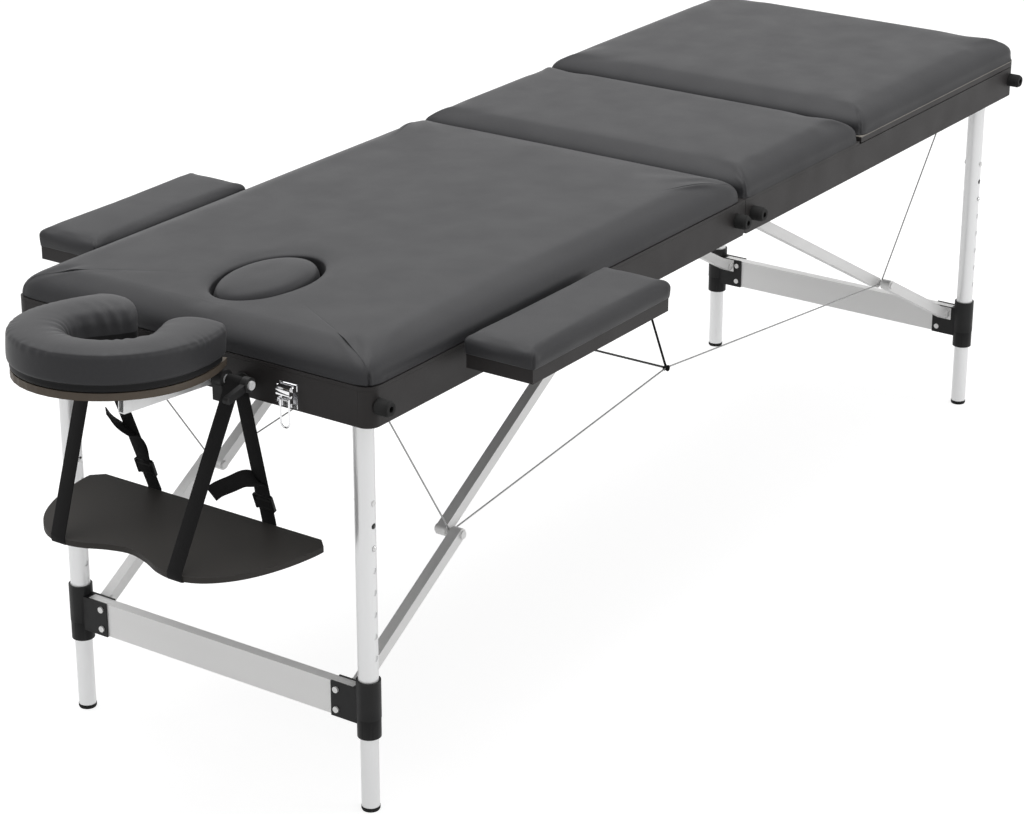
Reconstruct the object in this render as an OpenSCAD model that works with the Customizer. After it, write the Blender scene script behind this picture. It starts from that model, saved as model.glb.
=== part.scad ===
// Folding massage table with two hinged halves, a lifting backrest, telescopic
// aluminium legs, a face cradle, an arm sling and two armrests.
// The head end points to -X, the foot end to +X, and the floor is z = 0.
// Most pieces are drawn for the foot half or the +Y side and mirrored from there.

/* [Table top] */
// Length of each folding half
half_l = 925; // [770:5:1110]
// Width of the table top
table_w = 604; // [500:2:730]
// Height of the frame's underside above the floor
frame_z = 578; // [480:2:700]
// Spare depth of the wooden rails above the folded braces
rail_spare = 1; // [0.5:0.5:20]
// Thickness of the wooden rails
rail_t = 20; // [14:1:24]
// Thickness of the plywood decks
deck_t = 5; // [4:0.5:9]
// Height of the foam at the edge of the top
foam_h = 29; // [24:1:60]
// Rise of the padding from its edge to its crown
crown = 8; // [4:1:16]
// Radius of the outer corners of the top
corner_r = 18; // [8:1:30]
// Length of the fixed seat section
seat_l = 360; // [280:5:440]
// Thickness of the backrest's plywood board
board_t = 10; // [6:1:15]

/* [Legs] */
// Distance from a leg's centre to the end rail
leg_end = 24; // [20:1:50]
// Distance from a leg's centre to the side rail
leg_gap = 26; // [21:1:50]
// Outer diameter of the inner leg tube
inner_d = 25; // [20:0.5:30]
// Wall of the inner leg tube
tube_wall = 1.5; // [1:0.1:2]
// Wall of the outer leg tube
outer_wall = 1.4; // [1:0.1:2.4]
// Wall of the leg's plastic sleeve
sleeve_wall = 3; // [2:0.5:5]
// Distance between two height holes
hole_pitch = 32; // [25:1:39]
// Diameter of the height holes
hole_d = 8.4; // [6:0.1:10.2]
// Height of the snap button above the floor
button_z = 390; // [330:1:460]
// Height of the crossbar's centre above the floor
crossbar_z = 156; // [128:1:200]
// Depth of the crossbar
crossbar_h = 50; // [40:1:60]
// Thickness of the crossbar
crossbar_t = 16; // [12:1:20]

/* [Braces] */
// Depth of a brace link
link_h = 17; // [14:1:21]
// Width of a brace link
link_w = 16; // [12:1:20]
// Distance of the head brace's upper pivot from the fold rail
head_brace_in = 91.5; // [40:0.5:180]
// Distance of the foot brace's upper pivot from the fold rail
foot_brace_in = 11.5; // [9.5:0.5:180]
// Height of the lower brace pivots above the crossbar's centre
brace_low_up = 16; // [10:1:20]

/* [Face cradle] */
// Distance from the table's end to the cradle's tilt axis
cradle_out = 43; // [36:1:70]
// Height of the cradle's sliding rods above the frame's underside
cradle_up = 20; // [16:1:24]
// Height of its tilt axis above those rods
cradle_rise = 20; // [16:1:24]
// Distance from the centre line to a cradle rod
cradle_rod_y = 97; // [82:1:116]
// Diameter of the cradle's rods
rod_d = 12; // [10:0.5:14.5]
// Upward tilt of the cradle as it stands
cradle_tilt = 5; // [0:0.5:9]
// Length of the cradle cushion
cradle_l = 262; // [220:2:316]
// Width of the cradle cushion
cradle_w = 250; // [210:2:300]
// Thickness of the cradle cushion at its edge
cradle_pad_h = 50; // [40:1:60]

/* [Sling] */
// Height of the sling board's top
sling_z = 384; // [320:2:462]
// Distance from the table's side to the end of the sling board
sling_side = 97; // [70:1:130]
// Depth of the sling board
sling_l = 190; // [150:2:230]
// Width of the sling's webbing
web_w = 24; // [18:1:29]

/* [Armrests] */
// Length of an armrest
arm_l = 336; // [280:4:404]
// Width of an armrest
arm_w = 112; // [90:2:150]
// Distance from the head end to an armrest's centre
arm_in = 345; // [285:5:415]
// Gap between an armrest and the table
arm_gap = 14; // [8:1:24]
// Height of an armrest's pad at its edge
arm_pad_h = 22; // [14:1:30]

/* [Hidden] */
$fn = 48;

// Shared clearances
overrun = 2;         // how far a cut runs past the faces it opens
joint_gap = 0.2;     // gap left for glue between wooden pieces
run_gap = 0.1;       // radial gap of a sliding or turning fit
pin_gap = 0.05;      // radial gap of a hinge pin
touch_gap = 0.3;     // gap between pieces that move past each other
side_gap = 0.5;      // side play of a link between its ears
wide_gap = 1;        // gap beside pieces that pass each other over a long way
seam = 1;            // gap between the two halves at the fold
section_gap = 6;     // gap between the seat and the backrest

// Leg tubes, their plastic couplings and the crossbar's screws
outer_bore = inner_d + 2 * run_gap;
outer_d = outer_bore + 2 * outer_wall;
sleeve_d = outer_d + 2 * sleeve_wall;
collar_step = 0.5;
collar_d = sleeve_d - 2 * collar_step;
outer_down = 16;     // how far the outer tube reaches below the crossbar's centre
sleeve_up = 15;      // how far the sleeve reaches above the crossbar
collar_down = 19;    // how far the collar reaches below the crossbar
outer_low = crossbar_z - outer_down;
sleeve_top = crossbar_z + crossbar_h / 2 + sleeve_up;
collar_z = crossbar_z - crossbar_h / 2 - collar_down;
hole_count = 8;
button_hole = 2;     // the height hole, counted from the top, that holds the button
button_d = hole_d - 4 * run_gap;
button_out = 1;      // how far the button's straight part stands out of the outer tube
button_dome = 1.5;
button_dome_share = 0.5;
button_in = 3;       // how far the button reaches inside the inner tube's wall
strip_t = 1;
strip_w = 8;
strip_l = 40;
strip_up = 6;
inner_over = 25;     // how far the inner tube runs past its button
cap_rim = 0.5;
cap_d = inner_d + 2 * cap_rim;
cap_bevel = 1;
cap_h = 6;
cap_plug_h = 16;
plate_t = 2.5;
plate_in = 56;       // distance from the leg's centre to the plates' inner end
plate_lip = 1;
bar_end = 20;        // distance from the leg's centre to the crossbar's end
bar_wall = 1.6;
screw_d = 5;
screw_head_d = 9;
screw_head_h = 2.5;
nut_t = 1;
screw_in = 47;
screw_share = 0.3;   // share of the crossbar's depth from its centre to a screw
screw_dz = screw_share * crossbar_h;
rivet_out = 1;

// Heights in the table top; the rails are as deep as the folded legs and braces need
clevis_t = 1.5;
brace_in = crossbar_t / 2 + plate_t + clevis_t + side_gap + link_h / 2;
pivot_z = frame_z + sleeve_d / 2 + wide_gap;
brace_flat_z = pivot_z + brace_in;
rail_top = brace_flat_z + link_h / 2 + clevis_t + rail_spare;
deck_top = rail_top + deck_t;
edge_top = deck_top + foam_h;
top_z = edge_top + crown;
half_w = table_w / 2;
rail_in = half_w - rail_t;
wood_x = seam / 2;

// Face hole and its plug, in the foot half's mirrored frame
face_in = 170;
face_x = half_l - face_in;
face_rx = 97;
face_ry = 60;
face_ledge = 10;
rim_round = 6;       // how far the padding's rim is rounded back from the face hole
rim_drop = 1;
ring_parts = 13;
plug_gap = 4;
plug_draw = 34;
plug_proud = 5;

// Leg hinge brackets
leg_x = half_l - rail_t - leg_end;
leg_y = rail_in - leg_gap;
pivot_pin_d = 8;
pivot_bush_d = 14.4;
tube_over = 10;      // how far the outer tube runs past its pivot
swing_gap = 1.5;     // gap around the outer tube's swinging top
bracket_t = 2.5;
bracket_half = 16;
cheek_gap = 3.5;     // gap between the outer tube and the bracket's inner cheek
cheek_y = leg_y - outer_d / 2 - cheek_gap;
cheek_up = 6;        // height of the outer cheek's lower edge above the frame's underside
cheek_down = 10;     // how far the inner cheek reaches below the pivot
eye_in = 42;
eye_up = 10;
eye_pad = 6;
eye_out = 6;
eye_pin_l = 12;
eye_x = leg_x - eye_in;
eye_z = pivot_z + eye_up;

// Braces: the lower link turns outboard of the upper one
brace_pin_d = 6;
link_in = 9;         // gap between the outer tube and the lower link
link_gap = 8;
link_wall = 1.5;
lower_link_y = leg_y - outer_d / 2 - link_in - link_w / 2;
upper_link_y = lower_link_y - link_w - link_gap;
head_d = 12;         // diameter of the elbow's rivet head
head_t = 3;
core_d = 8;
groove_half = 1.6;
clevis_half = 7;
clevis_foot = 9;
clevis_down = 13;
clevis_edge = 3;
clevis_ear = 6;

// Where a brace's lower pivot is with the leg out, and along the panel with the leg folded
head_brace_x = wood_x + rail_t + head_brace_in;
foot_brace_x = wood_x + rail_t + foot_brace_in;
brace_low_x = leg_x - brace_in;
brace_low_z = crossbar_z + brace_low_up;
brace_shut_x = leg_x - (pivot_z - brace_low_z);
function brace_open(x) = norm([brace_low_x - x, brace_flat_z - brace_low_z]);
function brace_shut(x) = brace_shut_x - x;
function lower_len(x) = (brace_open(x) - brace_shut(x)) / 2;
function brace_angle(x) = atan2(brace_flat_z - brace_low_z, brace_low_x - x);
function elbow(x) = [brace_low_x - lower_len(x) * cos(brace_angle(x)),
                     brace_low_z + lower_len(x) * sin(brace_angle(x))];

// Fold hinge
knuckles = 5;
knuckle_d = 9;
knuckle_l = 15;
hinge_pin_d = 4;
leaf_t = 2;
leaf_w = 14;
hinge_y = 150;

// Bumpers on the near side rail
bumper_d = 22;
bumper_l = 20;
bumper_share = 0.8;  // share of a bumper's length and width that its bevel leaves
bumper_hole_d = 8;
bumper_hole_l = 9;
bumper_end = 17;
bumper_fold = 24;
bumper_up = 28;

// Carrying handles on the far side rail, below the armrest
handle_span = 150;
handle_block = [24, 26, 24];
handle_t = 4;
handle_drop = 24;
handle_up = 14;
handle_z = frame_z + handle_up;

// Backrest hinge, the pads it lies on and its stays
back_x = seat_l;
back_axis_share = 0.76;
back_axis_z = deck_top + back_axis_share * foam_h;
board_gap = 1.5;
board_z = rail_top + board_gap;
back_knuckle_d = 6;
back_pin_d = 3;
back_leaf_t = 1.5;
back_hinge_gap = 17.5;
back_hinge_y = upper_link_y - link_w - back_hinge_gap - knuckles * knuckle_l / 2;
batten_w = 24;
batten_h = 8;
rest_in = 60;
rest_l = 24;
rest_edge = 4;
park_in = 36;        // distance from a leg's centre to the parked peg of a stay
stay_share = 0.392;  // share of the way from the backrest's axis to that peg
park_x = leg_x - park_in;
stay_x = stay_share * (park_x - back_x);
stay_l = park_x - back_x - stay_x;
stay_down = 7;
stay_z = rail_top - stay_down;
stay_t = 4;
stay_h = 9;
stay_in = 10;
stay_y = leg_y - stay_in;
stay_pin_d = 4;
stay_head_t = 1.5;
stay_ear_y = stay_y - stay_t / 2 - touch_gap;
stay_plate = 16;
stay_ear = 6;
peg_d = 8;
rack_gap = 5;
rack_drop = 1.5;
rack_h = 5.5;
rack_y = stay_y + stay_t / 2 + rack_gap;
rack_top_z = stay_z - rack_drop;
rack_steps = 5;
rack_end = 16;
slot_share = 0.7;
back_raise = 70;     // how far the backrest lifts
// Where the stays' pegs are with the backrest raised
stay_drop = back_axis_z - stay_z;
stay_lean = asin((stay_x * sin(back_raise) + stay_drop * (1 - cos(back_raise))) / stay_l);
raised_x = back_x + stay_x * cos(back_raise) + stay_drop * sin(back_raise) + stay_l * cos(stay_lean);
rack_pitch = (park_x - raised_x) / rack_steps;

// Latches on the head end, catches on the foot end
latch_y = 173;
latch_w = 28;
latch_h = 34;
latch_up = 3;
latch_low = frame_z + latch_up;
latch_t = 2;
latch_ear = 4;
latch_pin_d = 3;
latch_axis_out = 7;
latch_axis_up = 28;
latch_axis_z = latch_low + latch_axis_up;
lever_w = 22;
lever_l = 24;
lever_t = 2.5;
dome_d = 30;
dome_in = 7;
dome_down = 4;
dome_low = 8;
dome_out = 12;
lug_t = 2;
lug_out = 7;
lug_half = 3;
bail_d = 2.6;
bail_w = 14;
bail_l = 38;
bail_ear = 4;
bail_down = 15;
bail_axis_z = latch_axis_z - bail_down;
bail_out = 11;
catch_out = 8;
catch_half = 8;
catch_up = 8;
catch_shelf = 3;
catch_lip = 12;
catch_lip_t = 2.5;

// Face cradle
cradle_x = half_l + cradle_out;
slide_z = frame_z + cradle_up;
cradle_z = slide_z + cradle_rise;
rod_in = 165;        // how far the rods reach into the table
rod_end = 3;         // how far the cross rod stands out beyond the cam lever
bush_wall = 4;
bush_d = rod_d + 2 * bush_wall;
bush_flange = 3.5;
bush_flange_d = bush_d + 2 * bush_flange;
bush_flange_t = 3;
bush_in = 14;
block_t = 16;
block_wall = 6;
block_r = rod_d / 2 + block_wall;
riser_half = 0.8 * block_r;
stem_wall = 3;
stem_h = rod_d + 2 * stem_wall;
stem_gap = 7;        // gap between the table's end and a block's stem
stem_l = cradle_out - stem_gap;
bar_in = 16;
bar_y = cradle_rod_y - bar_in;
bar_t = 10;
bar_rim = 4;
bar_h = rod_d + 2 * bar_rim;
bar_short = 68;      // distance from the bars' front end to the cushion's front
spacer_half = 10;
platform_gap = 2;
platform_t = 10;
platform_inset = 5;
platform_low = bar_h / 2 + platform_gap;
cradle_low = platform_low + platform_t;
cradle_rear = -22;   // rear end of the cushion's arms, in front of the tilt axis
cradle_front = cradle_rear + cradle_l;
bar_front = cradle_front - bar_short;
bend_share = 0.45;   // share of the cushion's length at which its arms turn into the front
cradle_bend = cradle_rear + bend_share * cradle_l;
cradle_wall = 75;    // width of the padding beside the face
cradle_front_wall = 82;
cradle_hole_rx = cradle_front - cradle_bend - cradle_front_wall;
cradle_hole_ry = cradle_w / 2 - cradle_wall;
cradle_mouth = 40;   // gap between the arms' ends
arm_slant = 34;      // how much further the outside of an arm's end reaches than its inside
outer_draw_share = 0.24;
lean_gap = 2.5;       // more gap beside the blocks, because the straps lean towards them
loop_y = cradle_rod_y + block_t / 2 + wide_gap + lean_gap + web_w / 2;
cam_t = 10;
cam_arm_t = 8;
cam_l = 46;
cam_h = 10;
cam_wall = 4;
cam_lean = 12;
cam_y = loop_y + web_w / 2 + overrun + cam_t / 2;
cross_rod_y = cam_y + cam_t / 2 + rod_end;

// Sling under the cradle
sling_t = 8;
sling_in = 80;
sling_rear_x = cradle_x - sling_in;
sling_half = half_w - sling_side;
sling_web_y = 100;
web_t = 1.6;
web_bite = 0.4;      // how far the webbing's straight runs reach into its loop
web_drop = 4;
buckle_l = 22;
buckle_rim = 4;
buckle_t = 6;
buckle_up = 44;

// Armrests
arm_x = half_l - arm_in;
arm_board_t = 20;
arm_down = 19;       // how far an armrest's board reaches below the rails' top
arm_low = rail_top - arm_down;
arm_y = half_w + arm_gap + arm_w / 2;
arm_inset = 4;
arm_corner_r = 12;
arm_crown_share = 0.6;
arm_draw = 8;
arm_reach = 22;
arm_rod_d = 10;
arm_rod_z = arm_low + arm_board_t / 2;
arm_rod_in = 60;
arm_rod_dx = 85;
arm_bush_d = 14;
arm_bush_flange_d = 20;
arm_flange_t = 2;

// Cables and cords: points chosen by hand, from the fold, for the +Y side
cable_r = 1.2;
cable_end = 5;       // distance from an elbow's centre to the long cable's end
cable_y = (lower_link_y + upper_link_y) / 2;
wrap_shares = [0.3, 0.4];
cord_r = 1.8;
knot_r = 4;
knot_gap = 4;
knot_down = 212;
knot = [-70, frame_z - knot_down];
tie_d = 3;
tie_end = 1;
tie_up = 12;
tie = [30, 100, frame_z + tie_up];

// Cross-sections of the padding, as [inset share, height share] from the bottom up
pad_shares = [[0.06, 0], [0, 0.2], [0.03, 0.6], [0.1, 0.86], [0.3, 1]];
crown_shares = [[0.42, 0.45], [0.7, 0.8], [1, 1]];
ring_shares = [[0.03, 0], [0, 0.1], [0.01, 0.55], [0.06, 0.83], [0.2, 1], [0.5, 1.12],
               [0.8, 1], [0.94, 0.83], [0.99, 0.55], [1, 0.1], [0.97, 0]];
plug_shares = [[0.06, 0], [0, 0.19], [0, 0.69], [0.15, 0.88], [0.53, 0.965], [1, 1]];
arm_end_shares = [[0, 0.55], [0.1, 0.8], [0.3, 0.94], [0.6, 1]];
pad_draw = 22;
pad_reach = 40;

// Half of the sling board's outline, as shares of its depth and half width
board_shares = [[0, 0], [0, 0.92], [0.08, 0.995], [0.42, 0.95], [0.72, 0.84], [0.92, 0.68],
                [1, 0.5], [0.98, 0.33], [0.9, 0.16], [0.86, 0]];
board_steps = 6;

// Stations along the horseshoe, as [share of its length, share of its full width]
arm_share = 0.24;
shoe_count = 32;
arm_end_reach = 22;
shoe_end = arm_share * arm_end_reach / (cradle_bend - cradle_rear);
shoe_ends = [for (s = arm_end_shares) [s[0] * shoe_end, s[1]]];
shoe_stations = concat(shoe_ends,
    [for (i = [0:shoe_count]) [shoe_end + (1 - 2 * shoe_end) * i / shoe_count, 1]],
    [for (i = [len(shoe_ends) - 1:-1:0]) [1 - shoe_ends[i][0], shoe_ends[i][1]]]);

// The middle of the whole object's length, from the fold
cradle_reach = max([for (s = ring_shares)
    (cradle_front - s[0] * (cradle_front - cradle_bend - cradle_hole_rx)) * cos(cradle_tilt)
    - (cradle_low + s[1] * cradle_pad_h) * sin(cradle_tilt)]);
hinge_x = (cradle_x + cradle_reach - half_l - catch_out) / 2;

// Frames of reference
module foot() translate([hinge_x, 0, 0]) children();
module head() translate([hinge_x, 0, 0]) mirror([1, 0, 0]) children();
module sides() for (s = [0, 1]) mirror([0, s, 0]) children();
module near() mirror([0, 1, 0]) children();

// A bar along Y between y0 and y1, at x and z
module y_bar(d, y0, y1, x, z) translate([x, y1, z]) rotate([90, 0, 0]) cylinder(d = d, h = y1 - y0);
// A bar along X between x0 and x1, at y and z
module x_bar(d, x0, x1, y, z) translate([x0, y, z]) rotate([0, 90, 0]) cylinder(d = d, h = x1 - x0);
// A box between two corners
module span(low, high) translate(low) cube(high - low);
// A round rod between two points
module rod(a, b, r) {
    d = b - a;
    translate(a) rotate([0, acos(d[2] / norm(d)), atan2(d[1], d[0])])
        cylinder(r = r, h = norm(d), $fn = 16);
}

// A plate from the fold outward, with its two outer corners rounded
module plate(x0, x1, w, r, z0, z1) {
    translate([0, 0, z0]) linear_extrude(z1 - z0) {
        translate([x0, -w / 2]) square([x1 - r - x0, w]);
        translate([x0, -w / 2 + r]) square([x1 - x0, w - 2 * r]);
        for (s = [-1, 1]) translate([x1 - r, s * (w / 2 - r)]) circle(r);
    }
}

// Points of an ellipse
function ellipse(cx, rx, ry, n) =
    [for (i = [0:n - 1]) [cx + rx * cos(i * 360 / n), ry * sin(i * 360 / n)]];
module oval(cx, rx, ry, z0, z1)
    translate([0, 0, z0]) linear_extrude(z1 - z0) polygon(ellipse(cx, rx, ry, 40));

// A rounded rectangle as a closed list of points at height z, with m pieces to each straight side
function round_corner(x, y, r, a, z) =
    [for (k = [0:5]) [x + r * cos(a + 18 * k), y + r * sin(a + 18 * k), z]];
function round_ring(x0, x1, y0, y1, r, z, m = 1) = let (c = [
    round_corner(x1 - r, y1 - r, r, 0, z), round_corner(x0 + r, y1 - r, r, 90, z),
    round_corner(x0 + r, y0 + r, r, 180, z), round_corner(x1 - r, y0 + r, r, 270, z)])
    [for (i = [0:3]) each concat(c[i],
        [for (j = [1:1:m - 1]) c[i][5] + (c[(i + 1) % 4][0] - c[i][5]) * j / m])];

// Triangles between ring i and ring j of n points
function ring_band(i, j, n) = [for (k = [0:n - 1]) each [
    [i * n + k, j * n + k, j * n + (k + 1) % n],
    [i * n + k, j * n + (k + 1) % n, i * n + (k + 1) % n]]];

// A solid through a list of rings, capped at both ends
module loft(rings) {
    n = len(rings[0]);
    m = len(rings);
    polyhedron(points = [for (r = rings) each r], convexity = 4, faces = [
        each [for (k = [1:n - 2]) [0, k, k + 1]],
        each [for (i = [0:m - 2]) each ring_band(i, i + 1, n)],
        each [for (k = [1:n - 2]) [(m - 1) * n, (m - 1) * n + k + 1, (m - 1) * n + k]]]);
}

// The rings of a crowned pad: drawn-in sides, then a crown that rises over reach
function pad_rings(x0, x1, y0, y1, r, z0, h, rise, draw, reach, m = 1) = concat(
    [for (s = pad_shares) let (d = s[0] * draw)
        round_ring(x0 + d, x1 - d, y0 + d, y1 - d, r, z0 + s[1] * h, m)],
    [for (s = crown_shares) let (d = s[0] * reach)
        round_ring(x0 + d, x1 - d, y0 + d, y1 - d, r + d / 2, z0 + h + s[1] * rise, m)]);
module pad(x0, x1, y0, y1, r, z0, h, rise, draw, reach)
    loft(pad_rings(x0, x1, y0, y1, r, z0, h, rise, draw, reach));

// Table top: frames

module rails() {
    intersection() {
        plate(wood_x, half_l, table_w, corner_r, frame_z, rail_top);
        sides() span([0, rail_in, frame_z - overrun],
            [half_l + overrun, half_w + overrun, rail_top + overrun]);
    }
    inner = rail_in - joint_gap;
    span([wood_x, -inner, frame_z], [wood_x + rail_t, inner, rail_top]);
    span([half_l - rail_t, -inner, frame_z], [half_l, inner, rail_top]);
}

module hinge_cuts() {
    y_bar(knuckle_d + 2 * touch_gap, -half_w, half_w, 0, frame_z);
    sides() span([0, hinge_y - 3 * knuckle_l, frame_z - overrun],
        [knuckle_d / 2 + touch_gap + leaf_w + touch_gap, hinge_y + 3 * knuckle_l, frame_z + leaf_t]);
}

module head_frame() head() color([0.13, 0.13, 0.14]) {
    difference() {
        rails();
        hinge_cuts();
        sides() x_bar(bush_d, half_l - rail_t - overrun, half_l + overrun, cradle_rod_y, slide_z);
        sides() for (s = [-1, 1])
            y_bar(arm_bush_d, rail_in - overrun, half_w + overrun, arm_x + s * arm_rod_dx, arm_rod_z);
    }
    difference() {
        plate(wood_x, half_l, table_w, corner_r, rail_top + joint_gap, deck_top);
        oval(face_x, face_rx - face_ledge, face_ry - face_ledge, rail_top - overrun, deck_top + overrun);
    }
}

module foot_frame() foot() color([0.13, 0.13, 0.14]) {
    difference() {
        rails();
        hinge_cuts();
    }
    deck_end = back_x - section_gap / 2;
    inner = rail_in - joint_gap;
    span([wood_x, -half_w, rail_top + joint_gap], [deck_end, half_w, deck_top]);
    // the batten under the deck leaves room for the folded braces
    difference() {
        span([deck_end - batten_w, -inner, rail_top - batten_h], [deck_end, inner, rail_top]);
        sides() span([deck_end - batten_w - overrun, upper_link_y - link_w, rail_top - batten_h - overrun],
            [deck_end + overrun, lower_link_y + link_w, rail_top + overrun]);
    }
}

// Table top: padding

module head_cushion() head() color([0.36, 0.36, 0.37]) {
    outer = pad_rings(wood_x, half_l, -half_w, half_w, corner_r, deck_top, foam_h, crown,
        pad_draw, pad_reach, ring_parts);
    n = len(outer[0]);
    m = len(outer);
    // each rim point faces a point of the outer ring, seen from the middle of the face hole
    rim = [for (p = outer[0]) let (a = atan2(p[1] / face_ry, (p[0] - face_x) / face_rx)) [cos(a), sin(a)]];
    hole = [for (q = [[rim_round, top_z - rim_drop], [0, edge_top], [0, deck_top]])
        [for (e = rim) [face_x + (face_rx + q[0]) * e[0], (face_ry + q[0]) * e[1], q[1]]]];
    rings = concat(outer, hole);
    polyhedron(points = [for (r = rings) each r], convexity = 6,
        faces = [for (i = [0:m + 2]) each ring_band(i, (i + 1) % (m + 3), n)]);
}

module seat_cushion() foot() color([0.36, 0.36, 0.37])
    pad(wood_x, back_x - section_gap / 2, -half_w, half_w, corner_r / 2, deck_top, foam_h, crown,
        pad_draw, pad_reach);

module backrest_cushion() foot() color([0.36, 0.36, 0.37])
    pad(back_x + section_gap / 2, half_l, -half_w, half_w, corner_r, board_z + board_t, foam_h, crown,
        pad_draw, pad_reach);

module backrest_board() foot() color([0.55, 0.42, 0.28])
    plate(back_x + section_gap / 2, half_l, table_w, corner_r, board_z, board_z + board_t - joint_gap);

module face_plug() head() color([0.36, 0.36, 0.37]) {
    low = deck_top + touch_gap;
    high = top_z + plug_proud;
    loft([for (s = plug_shares) let (d = plug_gap + s[0] * plug_draw)
        [for (p = ellipse(face_x, face_rx - d, face_ry - d, 32)) [p[0], p[1], low + s[1] * (high - low)]]]);
}

// Brackets under the two halves

module leg_bracket() {
    x0 = leg_x - bracket_half;
    x1 = leg_x + bracket_half;
    roof = pivot_z + norm([outer_d / 2, tube_over]) + swing_gap;
    span([x0, rail_in - bracket_t, frame_z + cheek_up], [x1, rail_in, roof + bracket_t]);
    span([x0, cheek_y - bracket_t, pivot_z - cheek_down], [x1, cheek_y, roof + bracket_t]);
    span([eye_x - eye_pad, cheek_y - bracket_t, eye_z - eye_pad], [x1, cheek_y, roof + bracket_t]);
    span([x0, cheek_y, roof], [x1, rail_in - bracket_t, roof + bracket_t]);
    y_bar(pivot_pin_d, cheek_y, rail_in - bracket_t, leg_x, pivot_z);
    y_bar(pivot_bush_d, cheek_y, leg_y - outer_d / 2 - touch_gap, leg_x, pivot_z);
    y_bar(pivot_bush_d, leg_y + outer_d / 2 + touch_gap, rail_in - bracket_t, leg_x, pivot_z);
    y_bar(brace_pin_d, cheek_y - bracket_t - eye_pin_l, cheek_y - bracket_t, eye_x, eye_z);
}

module brace_clevis(x) {
    ear = upper_link_y + link_w / 2 + side_gap;
    ear_in = upper_link_y - link_w / 2 - side_gap;
    low = rail_top - clevis_t;
    span([x - clevis_foot, ear_in - clevis_t, low], [x + clevis_foot, ear + clevis_t, rail_top]);
    for (y = [ear_in - clevis_t, ear]) {
        span([x - clevis_half, y, brace_flat_z], [x + clevis_half, y + clevis_t, low]);
        y_bar(2 * clevis_half, y, y + clevis_t, x, brace_flat_z);
    }
    y_bar(brace_pin_d, ear_in - clevis_t, ear + clevis_t, x, brace_flat_z);
}

// Knuckles first, first + 2 and so on of a hinge centred at y, with the pin if first is 0
module hinge_pin(d, y, x, z) y_bar(d, y - knuckles * knuckle_l / 2, y + knuckles * knuckle_l / 2, x, z);
function knuckle_y(y, k) = y + (k - knuckles / 2) * knuckle_l + touch_gap / 2;

module fold_leaf(first) {
    x1 = knuckle_d / 2 + touch_gap;
    span([x1, knuckle_y(hinge_y, 0) - touch_gap / 2, frame_z],
        [x1 + leaf_w, knuckle_y(hinge_y, knuckles) - touch_gap / 2, frame_z + leaf_t]);
    difference() {
        for (k = [first:2:knuckles - 1]) {
            y0 = knuckle_y(hinge_y, k);
            y1 = y0 + knuckle_l - touch_gap;
            y_bar(knuckle_d, y0, y1, 0, frame_z);
            span([0, y0, frame_z], [knuckle_d, y1, frame_z + leaf_t]);
        }
        if (first == 1)
            hinge_pin(hinge_pin_d + 2 * pin_gap, hinge_y, 0, frame_z);
    }
    if (first == 0)
        hinge_pin(hinge_pin_d, hinge_y, 0, frame_z);
}

module head_brackets() head() color([0.62, 0.63, 0.65]) sides() {
    x_bar(tie_d, wood_x + rail_t, tie[0] + cord_r + tie_end, tie[1], tie[2]);
    leg_bracket();
    brace_clevis(head_brace_x);
    fold_leaf(0);
}

module foot_brackets() foot() color([0.62, 0.63, 0.65]) sides() {
    leg_bracket();
    brace_clevis(foot_brace_x);
    fold_leaf(1);
    back_leaf(-1, 1);
}

// One leaf of a backrest hinge: side -1 on the seat, 1 on the backrest
module back_leaf(side, first) {
    face = back_x + side * (section_gap / 2 - back_leaf_t / 2);
    x0 = face - back_leaf_t / 2;
    x1 = face + back_leaf_t / 2;
    foot_z = side < 0 ? rail_top - batten_h : board_z;
    top = back_axis_z - back_knuckle_d / 2 - touch_gap;
    span([x0, knuckle_y(back_hinge_y, 0) - touch_gap / 2, foot_z],
        [x1, knuckle_y(back_hinge_y, knuckles) - touch_gap / 2, top]);
    difference() {
        for (k = [first:2:knuckles - 1]) {
            y0 = knuckle_y(back_hinge_y, k);
            y1 = y0 + knuckle_l - touch_gap;
            y_bar(back_knuckle_d, y0, y1, back_x, back_axis_z);
            span([x0, y0, foot_z], [x1, y1, back_axis_z]);
        }
        if (first == 1)
            hinge_pin(back_pin_d + 2 * pin_gap, back_hinge_y, back_x, back_axis_z);
    }
    if (first == 0)
        hinge_pin(back_pin_d, back_hinge_y, back_x, back_axis_z);
}

// The backrest's hinge leaves, and the ears that carry its stays
module backrest_hinge() foot() color([0.62, 0.63, 0.65]) sides() {
    back_leaf(1, 0);
    x = back_x + stay_x;
    y = stay_ear_y;
    face = stay_y + stay_t / 2;
    span([x - stay_plate, y - stay_plate, board_z - leaf_t / 2], [x + stay_plate, y, board_z]);
    span([x - stay_ear, y - leaf_t, stay_z], [x + stay_ear, y, board_z]);
    y_bar(2 * stay_ear, y - leaf_t, y, x, stay_z);
    y_bar(stay_pin_d, y - leaf_t, face + stay_head_t, x, stay_z);
    y_bar(2 * stay_pin_d, face + touch_gap, face + stay_head_t, x, stay_z);
}

// Backrest stays: two flat bars with a peg that rests in a rack on each side rail

module stay_body() {
    x0 = back_x + stay_x;
    y0 = stay_y - stay_t / 2;
    y1 = stay_y + stay_t / 2;
    difference() {
        union() {
            span([x0, y0, stay_z - stay_h / 2], [park_x, y1, stay_z + stay_h / 2]);
            for (x = [x0, park_x]) y_bar(stay_h, y0, y1, x, stay_z);
        }
        y_bar(stay_pin_d + 2 * pin_gap, y0 - overrun, y1 + overrun, x0, stay_z);
    }
    y_bar(peg_d, y1, rail_in - bracket_t - wide_gap, park_x, stay_z);
}
module backrest_stays() foot() color([0.7, 0.71, 0.73]) sides() stay_body();

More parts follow.
